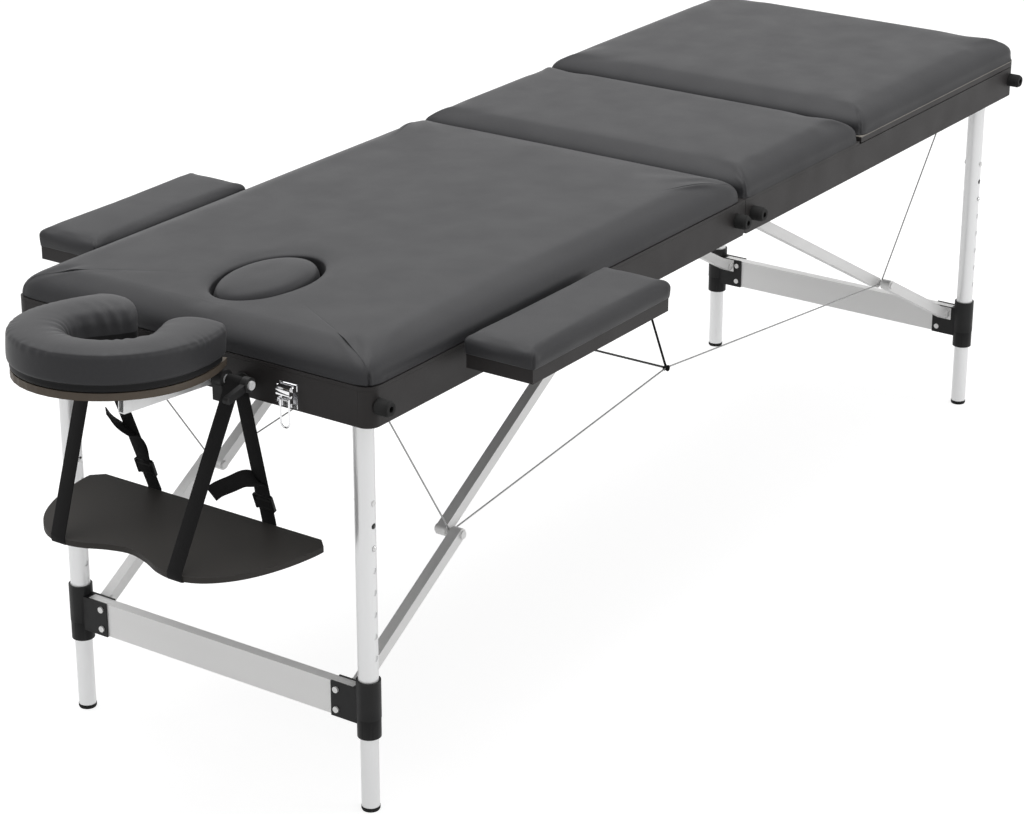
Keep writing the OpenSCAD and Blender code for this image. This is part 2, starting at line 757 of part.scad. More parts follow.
// The notches at both ends of a rack are longer, so the pegs can drop in from the side
module stay_racks() foot() color([0.62, 0.63, 0.65]) sides() difference() {
    notch = peg_d / 2 + touch_gap;
    y0 = rack_y - overrun;
    y1 = rail_in + overrun;
    span([raised_x - rack_end, rack_y, rack_top_z - rack_h], [park_x + rack_end, rail_in, rack_top_z]);
    for (k = [0:rack_steps])
        y_bar(2 * notch, y0, y1, raised_x + k * rack_pitch, stay_z);
    span([park_x, y0, stay_z - notch], [park_x + rack_end + overrun, y1, stay_z]);
    span([raised_x, y0, stay_z - notch], [raised_x + slot_share * rack_pitch, y1, stay_z]);
}

// Small fittings on the rails

module bumpers() {
    neck = bumper_share * bumper_l;
    for (x = [bumper_fold, half_l - bumper_end])
        translate([x, half_w, frame_z + bumper_up]) rotate([-90, 0, 0]) difference() {
            union() {
                cylinder(d = bumper_d, h = neck);
                translate([0, 0, neck])
                    cylinder(d1 = bumper_d, d2 = bumper_share * bumper_d, h = bumper_l - neck);
            }
            translate([0, 0, bumper_l - bumper_hole_l])
                cylinder(d = bumper_hole_d, h = bumper_hole_l + overrun);
        }
}
module head_bumpers() head() color([0.07, 0.07, 0.07]) near() bumpers();
module foot_bumpers() foot() color([0.07, 0.07, 0.07]) {
    near() bumpers();
    // pads on the side rails that the backrest lies on
    sides() for (x = [back_x + rest_in, half_l - rest_in])
        span([x - rest_l / 2, rail_in + rest_edge, rail_top],
            [x + rest_l / 2, half_w - rest_edge, board_z - touch_gap]);
}

module handle() {
    x0 = half_l / 2 - handle_span / 2;
    x1 = half_l / 2 + handle_span / 2;
    out = half_w + handle_block[1];
    for (x = [x0, x1]) translate([x, half_w + handle_block[1] / 2, handle_z])
        cube(handle_block, center = true);
    span([x0, out + joint_gap, handle_z - handle_drop / 2], [x1, out + handle_t, handle_z + handle_drop / 2]);
}
module head_handle() head() color([0.09, 0.09, 0.09]) handle();
module foot_handle() foot() color([0.09, 0.09, 0.09]) handle();

module socket_bushes() head() color([0.08, 0.08, 0.08]) {
    inward = half_l - rail_t - bush_in;
    out = half_l + bush_flange_t;
    sides() difference() {
        union() {
            x_bar(bush_d, inward, out, cradle_rod_y, slide_z);
            x_bar(bush_flange_d, half_l, out, cradle_rod_y, slide_z);
        }
        x_bar(rod_d + 2 * run_gap, inward - overrun, out + overrun, cradle_rod_y, slide_z);
    }
    y1 = half_w + arm_flange_t;
    sides() for (x = [arm_x - arm_rod_dx, arm_x + arm_rod_dx]) difference() {
        union() {
            y_bar(arm_bush_d, rail_in, y1, x, arm_rod_z);
            y_bar(arm_bush_flange_d, half_w, y1, x, arm_rod_z);
        }
        y_bar(arm_rod_d + 2 * run_gap, rail_in - overrun, y1 + overrun, x, arm_rod_z);
    }
}

// Latches

module latch_plate() span([half_l, latch_y - latch_w / 2, latch_low],
    [half_l + latch_t, latch_y + latch_w / 2, latch_low + latch_h]);

module latch_base() {
    ear = lever_w / 2 + touch_gap;
    x = half_l + latch_axis_out;
    z = latch_axis_z;
    latch_plate();
    for (y = [latch_y - ear - latch_t, latch_y + ear]) {
        span([half_l + latch_t, y, z - latch_ear], [x, y + latch_t, z + latch_ear]);
        y_bar(2 * latch_ear, y, y + latch_t, x, z);
    }
    y_bar(latch_pin_d, latch_y - ear - latch_t, latch_y + ear + latch_t, x, z);
}
module latch_bases() head() color([0.8, 0.81, 0.82]) sides() latch_base();

module latch_lever() head() color([0.8, 0.81, 0.82]) {
    x = half_l + latch_axis_out;
    y0 = latch_y - lever_w / 2;
    y1 = latch_y + lever_w / 2;
    z = latch_axis_z;
    difference() {
        union() {
            y_bar(2 * latch_ear, y0, y1, x, z);
            span([x, y0, z - lever_l], [x + lever_t, y1, z]);
            intersection() {
                y_bar(dome_d, y0, y1, x - dome_in, z - dome_down);
                span([x, y0, z - dome_low], [x + dome_out, y1, z + latch_ear]);
            }
        }
        y_bar(latch_pin_d + 2 * pin_gap, y0 - overrun, y1 + overrun, x, z);
    }
    for (y = [y0, y1 - lug_t]) difference() {
        span([x + lever_t, y, bail_axis_z - lug_half], [x + lug_out, y + lug_t, bail_axis_z + lug_half]);
        y_bar(bail_d + 2 * run_gap, y - overrun, y + lug_t + overrun, half_l + bail_out, bail_axis_z);
    }
}

module latch_bail() head() color([0.8, 0.81, 0.82]) {
    x = half_l + bail_out;
    turn = bail_axis_z - bail_l + bail_w / 2;
    y_bar(bail_d, latch_y - bail_w / 2 - bail_ear, latch_y + bail_w / 2 + bail_ear, x, bail_axis_z);
    for (s = [-1, 1]) translate([x, latch_y + s * bail_w / 2, turn])
        cylinder(d = bail_d, h = bail_axis_z - turn);
    translate([x, latch_y, turn]) rotate([0, 90, 0]) rotate([0, 0, -90])
        rotate_extrude(angle = 180) translate([bail_w / 2, 0]) circle(bail_d / 2);
}
module latch_lever_far() latch_lever();
module latch_lever_near() near() latch_lever();
module latch_bail_far() latch_bail();
module latch_bail_near() near() latch_bail();

module latch_catches() foot() color([0.8, 0.81, 0.82]) sides() {
    y0 = latch_y - catch_half;
    y1 = latch_y + catch_half;
    z = latch_low + catch_up;
    latch_plate();
    span([half_l + latch_t, y0, z], [half_l + catch_out, y1, z + catch_shelf]);
    span([half_l + catch_out - catch_lip_t, y0, z], [half_l + catch_out, y1, z + catch_lip]);
}

// Legs

module outer_tube() difference() {
    top = pivot_z + tube_over;
    translate([leg_x, leg_y, outer_low]) cylinder(d = outer_d, h = top - outer_low);
    translate([leg_x, leg_y, outer_low - overrun])
        cylinder(d = outer_bore, h = top - outer_low + 2 * overrun);
    for (k = [0:hole_count - 1])
        y_bar(hole_d, leg_y - outer_d, leg_y + outer_d, leg_x, button_z + (button_hole - k) * hole_pitch);
    y_bar(pivot_pin_d + 2 * pin_gap, leg_y - outer_d, leg_y + outer_d, leg_x, pivot_z);
}
module head_leg_tubes() head() color([0.82, 0.83, 0.84]) sides() outer_tube();
module foot_leg_tubes() foot() color([0.82, 0.83, 0.84]) sides() outer_tube();

// Bars along X through a coupling where its screws are
module screws(d, x0, x1)
    for (s = [-1, 1]) x_bar(d, x0, x1, leg_y - screw_in, crossbar_z + s * screw_dz);

module coupling() difference() {
    half_t = crossbar_t / 2 + plate_t;
    half_h = crossbar_h / 2 + plate_lip;
    union() {
        translate([leg_x, leg_y, outer_low]) cylinder(d = sleeve_d, h = sleeve_top - outer_low);
        translate([leg_x, leg_y, collar_z]) cylinder(d = collar_d, h = outer_low - collar_z);
        span([leg_x - half_t, leg_y - plate_in, crossbar_z - half_h],
            [leg_x + half_t, leg_y, crossbar_z + half_h]);
    }
    translate([leg_x, leg_y, collar_z - overrun]) cylinder(d = outer_bore, h = outer_low);
    translate([leg_x, leg_y, outer_low]) cylinder(d = outer_d, h = sleeve_top);
    span([leg_x - crossbar_t / 2, leg_y - plate_in - overrun, crossbar_z - crossbar_h / 2],
        [leg_x + crossbar_t / 2, leg_y - bar_end, crossbar_z + crossbar_h / 2 + overrun]);
    screws(screw_d, leg_x - sleeve_d, leg_x + sleeve_d);
}
module head_couplings() head() color([0.06, 0.06, 0.06]) sides() coupling();
module foot_couplings() foot() color([0.06, 0.06, 0.06]) sides() coupling();

// The crossbar with its screws, stop rivets and the clevises of the lower brace pivots
module crossbar() {
    reach = leg_y - bar_end - joint_gap;
    bar_x = crossbar_t / 2;
    bar_z = crossbar_h / 2;
    difference() {
        span([leg_x - bar_x, -reach, crossbar_z - bar_z], [leg_x + bar_x, reach, crossbar_z + bar_z]);
        span([leg_x - bar_x + bar_wall, -reach - overrun, crossbar_z - bar_z + bar_wall],
            [leg_x + bar_x - bar_wall, reach + overrun, crossbar_z + bar_z - bar_wall]);
        sides() screws(screw_d + 2 * run_gap, leg_x - crossbar_t, leg_x + crossbar_t);
    }
    out = leg_x + bar_x + plate_t;
    inward = leg_x - bar_x - plate_t;
    y0 = lower_link_y - link_w / 2 - side_gap - clevis_t;
    y1 = lower_link_y + link_w / 2 + side_gap;
    sides() {
        screws(screw_d - 2 * run_gap, inward - nut_t, out);
        screws(screw_head_d, out, out + screw_head_h);
        screws(screw_head_d, inward - nut_t, inward);
        y_bar(hole_d - 2 * run_gap, leg_y - outer_d / 2 - rivet_out, leg_y + outer_d / 2 + rivet_out,
            leg_x, button_z + button_hole * hole_pitch);
        difference() {
            span([inward - clevis_t, y0, brace_low_z - clevis_down],
                [inward, y1 + clevis_edge, crossbar_z + bar_z]);
            screws(screw_head_d + 2 * side_gap, inward - clevis_t - overrun, inward + overrun);
        }
        for (y = [y0, y1]) {
            span([brace_low_x, y, brace_low_z - clevis_ear],
                [inward - clevis_t, y + clevis_t, brace_low_z + clevis_ear]);
            y_bar(2 * clevis_ear, y, y + clevis_t, brace_low_x, brace_low_z);
        }
        y_bar(brace_pin_d, y0, y1 + clevis_t, brace_low_x, brace_low_z);
    }
}
module head_crossbar() head() color([0.8, 0.81, 0.82]) crossbar();
module foot_crossbar() foot() color([0.8, 0.81, 0.82]) crossbar();

module inner_tube() color([0.78, 0.79, 0.8]) difference() {
    length = button_z + inner_over - cap_h;
    translate([leg_x, leg_y, cap_h]) cylinder(d = inner_d, h = length);
    translate([leg_x, leg_y, cap_h - overrun])
        cylinder(d = inner_d - 2 * tube_wall, h = length + 2 * overrun);
    y_bar(button_d + 2 * run_gap, leg_y - inner_d, leg_y + inner_d, leg_x, button_z);
}
module inner_tube_head_near() head() near() inner_tube();
module inner_tube_head_far() head() inner_tube();
module inner_tube_foot_near() foot() near() inner_tube();
module inner_tube_foot_far() foot() inner_tube();

module foot_cap() color([0.05, 0.05, 0.05]) translate([leg_x, leg_y, 0]) {
    cylinder(d1 = cap_d - 2 * cap_bevel, d2 = cap_d, h = cap_h / 3);
    translate([0, 0, cap_h / 3]) cylinder(d = cap_d, h = cap_h * 2 / 3);
    cylinder(d = inner_d - 2 * tube_wall, h = cap_h + cap_plug_h);
}
module foot_cap_head_near() head() near() foot_cap();
module foot_cap_head_far() head() foot_cap();
module foot_cap_foot_near() foot() near() foot_cap();
module foot_cap_foot_far() foot() foot_cap();

// A snap button that faces -Y, with the spring strip behind it; side is -1 near, 1 far
module leg_button(side) color([0.7, 0.71, 0.72]) {
    y = side * leg_y;
    face = y - outer_d / 2 - button_out;
    inward = y - inner_d / 2 + tube_wall + button_in;
    y_bar(button_d, face, inward, leg_x, button_z);
    translate([leg_x, face, button_z]) rotate([90, 0, 0])
        cylinder(d1 = button_d, d2 = button_d * button_dome_share, h = button_dome);
    span([leg_x - strip_w / 2, inward - strip_t, button_z - strip_l],
        [leg_x + strip_w / 2, inward, button_z + strip_up]);
}
module leg_button_head_near() head() leg_button(-1);
module leg_button_head_far() head() leg_button(1);
module leg_button_foot_near() foot() leg_button(-1);
module leg_button_foot_far() foot() leg_button(1);

// Braces

// A hollow link with rounded solid ends, from point a to point b in the XZ plane
module link(a, b, y) {
    d = b - a;
    l = norm(d);
    half_t = link_w / 2;
    half_h = link_h / 2;
    translate([a[0], y, a[1]]) rotate([0, -atan2(d[1], d[0]), 0]) difference() {
        union() {
            span([0, -half_t, -half_h], [l, half_t, half_h]);
            for (x = [0, l]) y_bar(link_h, -half_t, half_t, x, 0);
        }
        span([link_h, link_wall - half_t, link_wall - half_h],
            [l - link_h, half_t - link_wall, half_h - link_wall]);
        y_bar(brace_pin_d + 2 * pin_gap, -link_w, link_w, 0, 0);
    }
}

module lower_links(x) sides() {
    e = elbow(x);
    face = lower_link_y + link_w / 2;
    link([brace_low_x, brace_low_z], e, lower_link_y);
    y_bar(head_d, face, face + head_t, e[0], e[1]);
}
module head_lower_links() head() color([0.8, 0.81, 0.82]) lower_links(head_brace_x);
module foot_lower_links() foot() color([0.8, 0.81, 0.82]) lower_links(foot_brace_x);

// The upper link carries the elbow's grooved spacer and nut
module upper_links(x) sides() {
    e = elbow(x);
    face = upper_link_y + link_w / 2;
    back = upper_link_y - link_w / 2;
    spacer_end = lower_link_y - link_w / 2 - touch_gap;
    link([x, brace_flat_z], e, upper_link_y);
    difference() {
        y_bar(head_d, face, spacer_end, e[0], e[1]);
        y_bar(head_d + overrun, cable_y - groove_half, cable_y + groove_half, e[0], e[1]);
    }
    y_bar(core_d, face, spacer_end, e[0], e[1]);
    y_bar(head_d, back - head_t, back, e[0], e[1]);
}
module head_upper_links() head() color([0.8, 0.81, 0.82]) upper_links(head_brace_x);
module foot_upper_links() foot() color([0.8, 0.81, 0.82]) upper_links(foot_brace_x);

// Cables: from a leg bracket to the elbow, and from the elbow to the knot near the fold

module leg_cable(x) {
    e = elbow(x);
    top = [eye_x, cheek_y - bracket_t - eye_out, eye_z - brace_pin_d / 2 - cable_r];
    low = [e[0] + head_d * wrap_shares[0], cable_y, e[1] + head_d * wrap_shares[1]];
    rod(top, low, cable_r);
}
module long_cable(x, end_x) {
    e = elbow(x);
    rod([e[0] - cable_end, cable_y, e[1]], [end_x, cable_y, knot[1]], cable_r);
}
module head_cables() head() color([0.6, 0.6, 0.61]) sides() {
    leg_cable(head_brace_x);
    long_cable(head_brace_x, knot_gap - knot[0]);
}
module foot_cables() foot() color([0.6, 0.6, 0.61]) sides() {
    leg_cable(foot_brace_x);
    long_cable(foot_brace_x, knot_gap + knot[0]);
}
module elastic_cords() head() color([0.05, 0.05, 0.05]) {
    sides() {
        translate([-knot[0], cable_y, knot[1]]) sphere(r = knot_r, $fn = 24);
        rod([-knot[0], cable_y - cord_r, knot[1] + 2 * cord_r],
            [tie[0], tie[1], tie[2] - tie_d / 2 - cord_r - run_gap], cord_r);
    }
    y_bar(2 * cord_r, -cable_y, cable_y, -knot[0], knot[1]);
}

// Face cradle: the tilting pieces are drawn level, with x forward of the tilt axis

module tilted() head() translate([cradle_x, 0, cradle_z]) rotate([0, -cradle_tilt, 0]) children();

module cradle_rods() head() color([0.8, 0.81, 0.82]) {
    sides() x_bar(rod_d, half_l - rod_in, cradle_x - rod_d / 2 - joint_gap, cradle_rod_y, slide_z);
    y_bar(rod_d, -cross_rod_y, cross_rod_y, cradle_x, cradle_z);
}

module cradle_blocks() head() color([0.07, 0.07, 0.07]) sides() difference() {
    y0 = cradle_rod_y - block_t / 2;
    y1 = cradle_rod_y + block_t / 2;
    low = slide_z - stem_h / 2;
    union() {
        y_bar(2 * block_r, y0, y1, cradle_x, cradle_z);
        span([cradle_x - stem_l, y0, low], [cradle_x, y1, slide_z + stem_h / 2]);
        span([cradle_x - riser_half, y0, low], [cradle_x + riser_half, y1, cradle_z]);
    }
    x_bar(rod_d, cradle_x - stem_l - overrun, cradle_x - rod_d / 2, cradle_rod_y, slide_z);
    y_bar(rod_d, 0, cross_rod_y, cradle_x, cradle_z);
}

module cradle_bars() tilted() color([0.8, 0.81, 0.82]) sides() {
    y0 = bar_y - bar_t / 2;
    y1 = bar_y + bar_t / 2;
    difference() {
        union() {
            span([0, y0, -bar_h / 2], [bar_front, y1, bar_h / 2]);
            y_bar(bar_h, y0, y1, 0, 0);
        }
        y_bar(rod_d + 2 * run_gap, 0, cross_rod_y, 0, 0);
        span([bar_h, y0 + bar_wall, bar_wall - bar_h / 2],
            [bar_front + overrun, y1 - bar_wall, bar_h / 2 - bar_wall]);
    }
    for (x = [bar_h, bar_front - bar_h])
        span([x - spacer_half, y0, bar_h / 2], [x + spacer_half, y1, platform_low]);
}

// Outer and inner points of the horseshoe at station t, from 0 at one arm's end to 1 at the other's
function shoe_turn(t) = t < arm_share ? -90 : t > 1 - arm_share ? 90
    : -90 + 180 * (t - arm_share) / (1 - 2 * arm_share);
function shoe_back(t) = max(0, 1 - min(t, 1 - t) / arm_share);
function shoe(t, inset) = let (
    a = shoe_turn(t),
    s = shoe_back(t),
    back = s * (cradle_bend - cradle_rear - inset),
    outer = (cradle_w / 2 - inset) * (1 - outer_draw_share * pow(s, 2)),
    inner = cradle_hole_ry + inset - (cradle_hole_ry - cradle_mouth / 2) * pow(sin(90 * s), 1.3))
    [[cradle_bend - back + (cradle_front - cradle_bend - inset) * cos(a), outer * sin(a)],
     [cradle_bend - back + s * arm_slant + (cradle_hole_rx + inset) * cos(a), inner * sin(a)]];

module cradle_platform() tilted() color([0.72, 0.58, 0.4]) {
    n = 40;
    translate([0, 0, platform_low]) linear_extrude(platform_t - joint_gap) polygon([
        for (i = [0:n]) shoe(i / n, platform_inset)[0],
        for (i = [n:-1:0]) shoe(i / n, platform_inset)[1]]);
}

// One ring across the horseshoe at station t, narrowed to the share w near an arm's end
function shoe_ring(t, w) = let (p = shoe(t, 0), d = p[1] - p[0])
    [for (s = ring_shares) let (q = p[0] + d * (0.5 + (s[0] - 0.5) * w))
        [q[0], q[1], cradle_low + cradle_pad_h * s[1] * (s[1] > 0.5 ? 0.9 + 0.1 * w : 1)]];

module cradle_cushion() tilted() color([0.3, 0.3, 0.31])
    loft([for (s = shoe_stations) shoe_ring(s[0], s[1])]);

module cam_lever() head() near() color([0.06, 0.06, 0.06])
    translate([cradle_x, cam_y, cradle_z]) rotate([0, cam_lean, 0]) difference() {
        tip = cam_l - cam_h / 2;
        union() {
            y_bar(rod_d + 2 * cam_wall, -cam_t / 2, cam_t / 2, 0, 0);
            span([0, -cam_arm_t / 2, -cam_h / 2], [tip, cam_arm_t / 2, cam_h / 2]);
            y_bar(cam_h, -cam_arm_t / 2, cam_arm_t / 2, tip, 0);
        }
        y_bar(rod_d + 2 * run_gap, -cam_t, cam_t, 0, 0);
    }

// Sling: a shelf that hangs on webbing loops from the cradle's cross rod

// A point on the smooth curve through the points b and c, whose neighbours are a and d
function between(a, b, c, d, t) = 0.5 * (2 * b + (c - a) * t + (2 * a - 5 * b + 4 * c - d) * pow(t, 2)
    + (3 * b - a - 3 * c + d) * pow(t, 3));

// One half of the board's outline: straight at the rear, then curved round to the middle of its front
function board_half() = let (s = board_shares, n = len(s))
    concat([s[0], s[1]], [for (i = [2:n - 2], k = [0:board_steps - 1])
        between(s[i - 1], s[i], s[i + 1], i + 2 < n ? s[i + 2] : [s[i][0], -s[i][1]], k / board_steps)],
        [s[n - 1]]);

module sling_board() head() color([0.11, 0.11, 0.12])
    translate([sling_rear_x, 0, sling_z - sling_t]) linear_extrude(sling_t) {
        half = [for (p = board_half()) [min(1, p[0]) * sling_l, p[1] * sling_half]];
        polygon(concat(half, [for (i = [len(half) - 2:-1:1]) [half[i][0], -half[i][1]]]));
    }

// A strip of webbing between two points, its width along Y
module web(a, b) {
    d = b - a;
    flat = norm([d[0], d[2]]);
    translate(a) rotate([0, -atan2(d[2], d[0]), 0])
        multmatrix([[1, 0, 0, 0], [d[1] / flat, 1, 0, 0], [0, 0, 1, 0]])
            span([0, -web_w / 2, -web_t / 2], [flat, web_w / 2, web_t / 2]);
}
module sling_straps() head() color([0.05, 0.05, 0.05]) sides() {
    r = rod_d / 2 + touch_gap;
    run = r + web_t / 2 - web_bite;
    low = sling_z - sling_t - web_t;
    high = sling_z + wide_gap;
    rear = [sling_rear_x - web_t / 2, sling_web_y, high];
    front = [sling_rear_x + sling_l + web_t / 2, sling_web_y, high];
    difference() {
        y_bar(2 * (r + web_t), loop_y - web_w / 2, loop_y + web_w / 2, cradle_x, cradle_z);
        y_bar(2 * r, loop_y - web_w, loop_y + web_w, cradle_x, cradle_z);
    }
    web([cradle_x - run, loop_y, cradle_z - web_drop], rear);
    web([cradle_x + run, loop_y, cradle_z - web_drop], front);
    for (x = [rear[0], front[0]])
        span([x - web_t / 2, sling_web_y - web_w / 2, low], [x + web_t / 2, sling_web_y + web_w / 2, high]);
    span([rear[0], sling_web_y - web_w / 2, low], [front[0], sling_web_y + web_w / 2, low + web_t]);
    lean = atan2(cradle_z - sling_z, cradle_x - sling_rear_x);
    translate([rear[0] + buckle_up / tan(lean), sling_web_y, sling_z + buckle_up]) rotate([0, -lean, 0])
        cube([buckle_l, web_w + 2 * buckle_rim, buckle_t], center = true);
}

// Armrests

module armrest_board() color([0.5, 0.38, 0.25]) {
    half_x = arm_l / 2 - arm_inset;
    y0 = arm_y - arm_w / 2 + arm_inset;
    span([arm_x - half_x, y0, arm_low],
        [arm_x + half_x, arm_y + arm_w / 2 - arm_inset, arm_low + arm_board_t]);
    for (x = [arm_x - arm_rod_dx, arm_x + arm_rod_dx])
        y_bar(arm_rod_d, half_w - arm_rod_in, y0, x, arm_rod_z);
}
module near_armrest_board() head() near() armrest_board();
module far_armrest_board() head() armrest_board();

module armrest_pad() color([0.3, 0.3, 0.31])
    pad(arm_x - arm_l / 2, arm_x + arm_l / 2, arm_y - arm_w / 2, arm_y + arm_w / 2, arm_corner_r,
        arm_low + arm_board_t + joint_gap, arm_pad_h - joint_gap, arm_crown_share * crown,
        arm_draw, arm_reach);
module near_armrest_pad() head() near() armrest_pad();
module far_armrest_pad() head() armrest_pad();

head_frame();
head_cushion();
head_brackets();
head_bumpers();
socket_bushes();
latch_bases();
head_handle();
foot_frame();
seat_cushion();
foot_brackets();
foot_bumpers();
latch_catches();
stay_racks();
foot_handle();
backrest_board();
backrest_cushion();
backrest_hinge();
backrest_stays();
head_leg_tubes();
head_crossbar();
head_couplings();
foot_leg_tubes();
foot_crossbar();
foot_couplings();
inner_tube_head_near();
inner_tube_head_far();
inner_tube_foot_near();
inner_tube_foot_far();
foot_cap_head_near();
foot_cap_head_far();
foot_cap_foot_near();
foot_cap_foot_far();
leg_button_head_near();
leg_button_head_far();
leg_button_foot_near();
leg_button_foot_far();
head_lower_links();
head_upper_links();
foot_lower_links();
foot_upper_links();
head_cables();
foot_cables();
elastic_cords();
cradle_rods();
cradle_blocks();
cradle_bars();
cradle_platform();
cradle_cushion();
cam_lever();
sling_board();
sling_straps();
near_armrest_board();
near_armrest_pad();
far_armrest_board();
far_armrest_pad();
face_plug();
latch_lever_near();
latch_bail_near();
latch_lever_far();
latch_bail_far();
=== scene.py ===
"""Folding massage table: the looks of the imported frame, in metres in the row frame."""

import math

import bmesh
import bpy
import numpy as np
from mathutils import Matrix, Vector


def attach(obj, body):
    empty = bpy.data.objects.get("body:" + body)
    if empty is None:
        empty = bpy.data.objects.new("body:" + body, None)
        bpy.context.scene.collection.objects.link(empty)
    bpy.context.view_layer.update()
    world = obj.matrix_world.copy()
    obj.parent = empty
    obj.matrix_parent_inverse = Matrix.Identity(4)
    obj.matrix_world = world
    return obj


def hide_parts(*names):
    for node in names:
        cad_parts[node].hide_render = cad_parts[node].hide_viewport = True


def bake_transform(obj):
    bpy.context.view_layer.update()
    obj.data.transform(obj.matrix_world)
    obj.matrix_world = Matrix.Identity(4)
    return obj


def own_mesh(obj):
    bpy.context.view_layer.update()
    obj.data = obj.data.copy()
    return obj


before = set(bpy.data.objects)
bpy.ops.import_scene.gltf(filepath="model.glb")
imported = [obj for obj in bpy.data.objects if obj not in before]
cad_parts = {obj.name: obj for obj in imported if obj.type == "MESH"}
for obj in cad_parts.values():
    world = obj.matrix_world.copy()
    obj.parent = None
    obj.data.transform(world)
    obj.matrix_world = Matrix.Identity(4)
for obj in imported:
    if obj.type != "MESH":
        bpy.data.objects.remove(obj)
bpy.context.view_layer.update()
scene = bpy.context.scene
MM = 0.001
CM = 100  # centimetres in a metre, the unit of the UV maps
HINGE_X = 135.867  # the fold in the row frame, mm
TILT = math.radians(5)  # the face cradle's tilt at rest
AXIS_X, AXIS_Z = 968, 618  # its tilt axis: mm from the fold towards the head, mm above the floor


def head(x, y, z):
    """A point given in mm from the fold towards the head end, in the row frame."""
    return np.array([(HINGE_X - x) * MM, y * MM, z * MM])


def foot(x, y, z):
    """A point given in mm from the fold towards the foot end, in the row frame."""
    return np.array([(HINGE_X + x) * MM, y * MM, z * MM])


def cradle(u, v, w):
    """A point of the tilted face cradle: u outward, v across, w up from its pivot, in mm."""
    return head(AXIS_X + u * math.cos(TILT) - w * math.sin(TILT), v,
                AXIS_Z + u * math.sin(TILT) + w * math.cos(TILT))


# ---------------------------------------------------------------- camera, solved from the photograph
cam_data = bpy.data.cameras.new("camera")
cam_data.lens = 100.85
cam_data.sensor_width = 36
cam_data.clip_end = 60
cam = bpy.data.objects.new("camera", cam_data)
scene.collection.objects.link(cam)
right, up, back = (0.5677, -0.8232, 0.0011), (0.3123, 0.2166, 0.925), (-0.7617, -0.5248, 0.38)
cam.matrix_world = Matrix((
    (right[0], up[0], back[0], -3.41633), (right[1], up[1], back[1], -2.3265),
    (right[2], up[2], back[2], 1.9717), (0, 0, 0, 1)))
scene.camera = cam


# ---------------------------------------------------------------- materials
class Mat:
    """A procedural material: variation of colour, roughness and bump on object coordinates."""

    def __init__(self, name, color, rough, metal=0.0, spec=0.5):
        self.m = bpy.data.materials.new(name)
        self.m.use_nodes = True
        self.t = self.m.node_tree
        self.b = self.t.nodes["Principled BSDF"]
        self.b.inputs["Base Color"].default_value = (*color, 1)
        self.b.inputs["Roughness"].default_value = rough
        self.b.inputs["Metallic"].default_value = metal
        self.b.inputs["Specular IOR Level"].default_value = spec
        self.color = color
        self.rough = rough
        self.col_out = None
        self.bump = None
        self.where = self.t.nodes.new("ShaderNodeTexCoord").outputs["Object"]

    def link(self, a, b):
        self.t.links.new(a, b)

    def coords(self, scale=(1, 1, 1), turn=(0, 0, 0)):
        """Texture coordinates, scaled and turned."""
        n = self.t.nodes.new("ShaderNodeMapping")
        n.inputs["Scale"].default_value = scale
        n.inputs["Rotation"].default_value = turn
        self.link(self.where, n.inputs["Vector"])
        return n.outputs[0]

    def noise(self, scale, detail=3.0, stretch=(1, 1, 1), rough=0.5):
        n = self.t.nodes.new("ShaderNodeTexNoise")
        n.inputs["Scale"].default_value = scale
        n.inputs["Detail"].default_value = detail
        n.inputs["Roughness"].default_value = rough
        self.link(self.coords(stretch), n.inputs["Vector"])
        return n.outputs["Fac"]

    def cells(self, scale):
        n = self.t.nodes.new("ShaderNodeTexVoronoi")
        n.inputs["Scale"].default_value = scale
        self.link(self.coords(), n.inputs["Vector"])
        return n.outputs["Distance"]

    def wave(self, scale, axis="Z", turn=(0, 0, 0)):
        n = self.t.nodes.new("ShaderNodeTexWave")
        n.wave_type = "BANDS"
        n.bands_direction = axis
        n.inputs["Scale"].default_value = scale
        n.inputs["Distortion"].default_value = 0
        n.inputs["Detail"].default_value = 2
        self.link(self.coords((1, 1, 1), turn), n.inputs["Vector"])
        return n.outputs["Fac"]

    def spread(self, fac, lo, hi, a=0.3, b=0.7):
        """Maps fac from a to b onto lo to hi."""
        n = self.t.nodes.new("ShaderNodeMapRange")
        n.inputs["From Min"].default_value = a
        n.inputs["From Max"].default_value = b
        n.inputs["To Min"].default_value = lo
        n.inputs["To Max"].default_value = hi
        self.link(fac, n.inputs["Value"])
        return n.outputs[0]

    def tint(self, fac, other, share=1.0, a=0.3, b=0.7):
        """Mixes another colour in where fac is high."""
        n = self.t.nodes.new("ShaderNodeMix")
        n.data_type = "RGBA"
        n.inputs["B"].default_value = (*other, 1)
        if self.col_out is None:
            n.inputs["A"].default_value = (*self.color, 1)
        else:
            self.link(self.col_out, n.inputs["A"])
        self.link(self.spread(fac, 0, share, a, b), n.inputs["Factor"])
        self.col_out = n.outputs["Result"]
        self.link(self.col_out, self.b.inputs["Base Color"])
        return self

    def gloss(self, fac, spread):
        """Varies the roughness with fac."""
        self.link(self.spread(fac, self.rough - spread, self.rough + spread), self.b.inputs["Roughness"])
        return self

    def relief(self, fac, distance, strength):
        """Adds a bump, on top of those before it."""
        n = self.t.nodes.new("ShaderNodeBump")
        n.inputs["Distance"].default_value = distance
        n.inputs["Strength"].default_value = strength
        self.link(fac, n.inputs["Height"])
        if self.bump is not None:
            self.link(self.bump, n.inputs["Normal"])
        self.bump = n.outputs[0]
        self.link(self.bump, self.b.inputs["Normal"])
        return self

    def edge_wear_and_highlight(self, other, share, a=0.52, b=0.58):
        """Lightens edges: partly wear, partly a painted highlight where the edges catch the light."""
        g = self.t.nodes.new("ShaderNodeNewGeometry")
        return self.tint(g.outputs["Pointiness"], other, share, a, b)


def scaled(c, k):
    """A colour times k."""
    return tuple(x * k for x in c)


GRAIN = 0.00016  # depth of the vinyl's grain, m


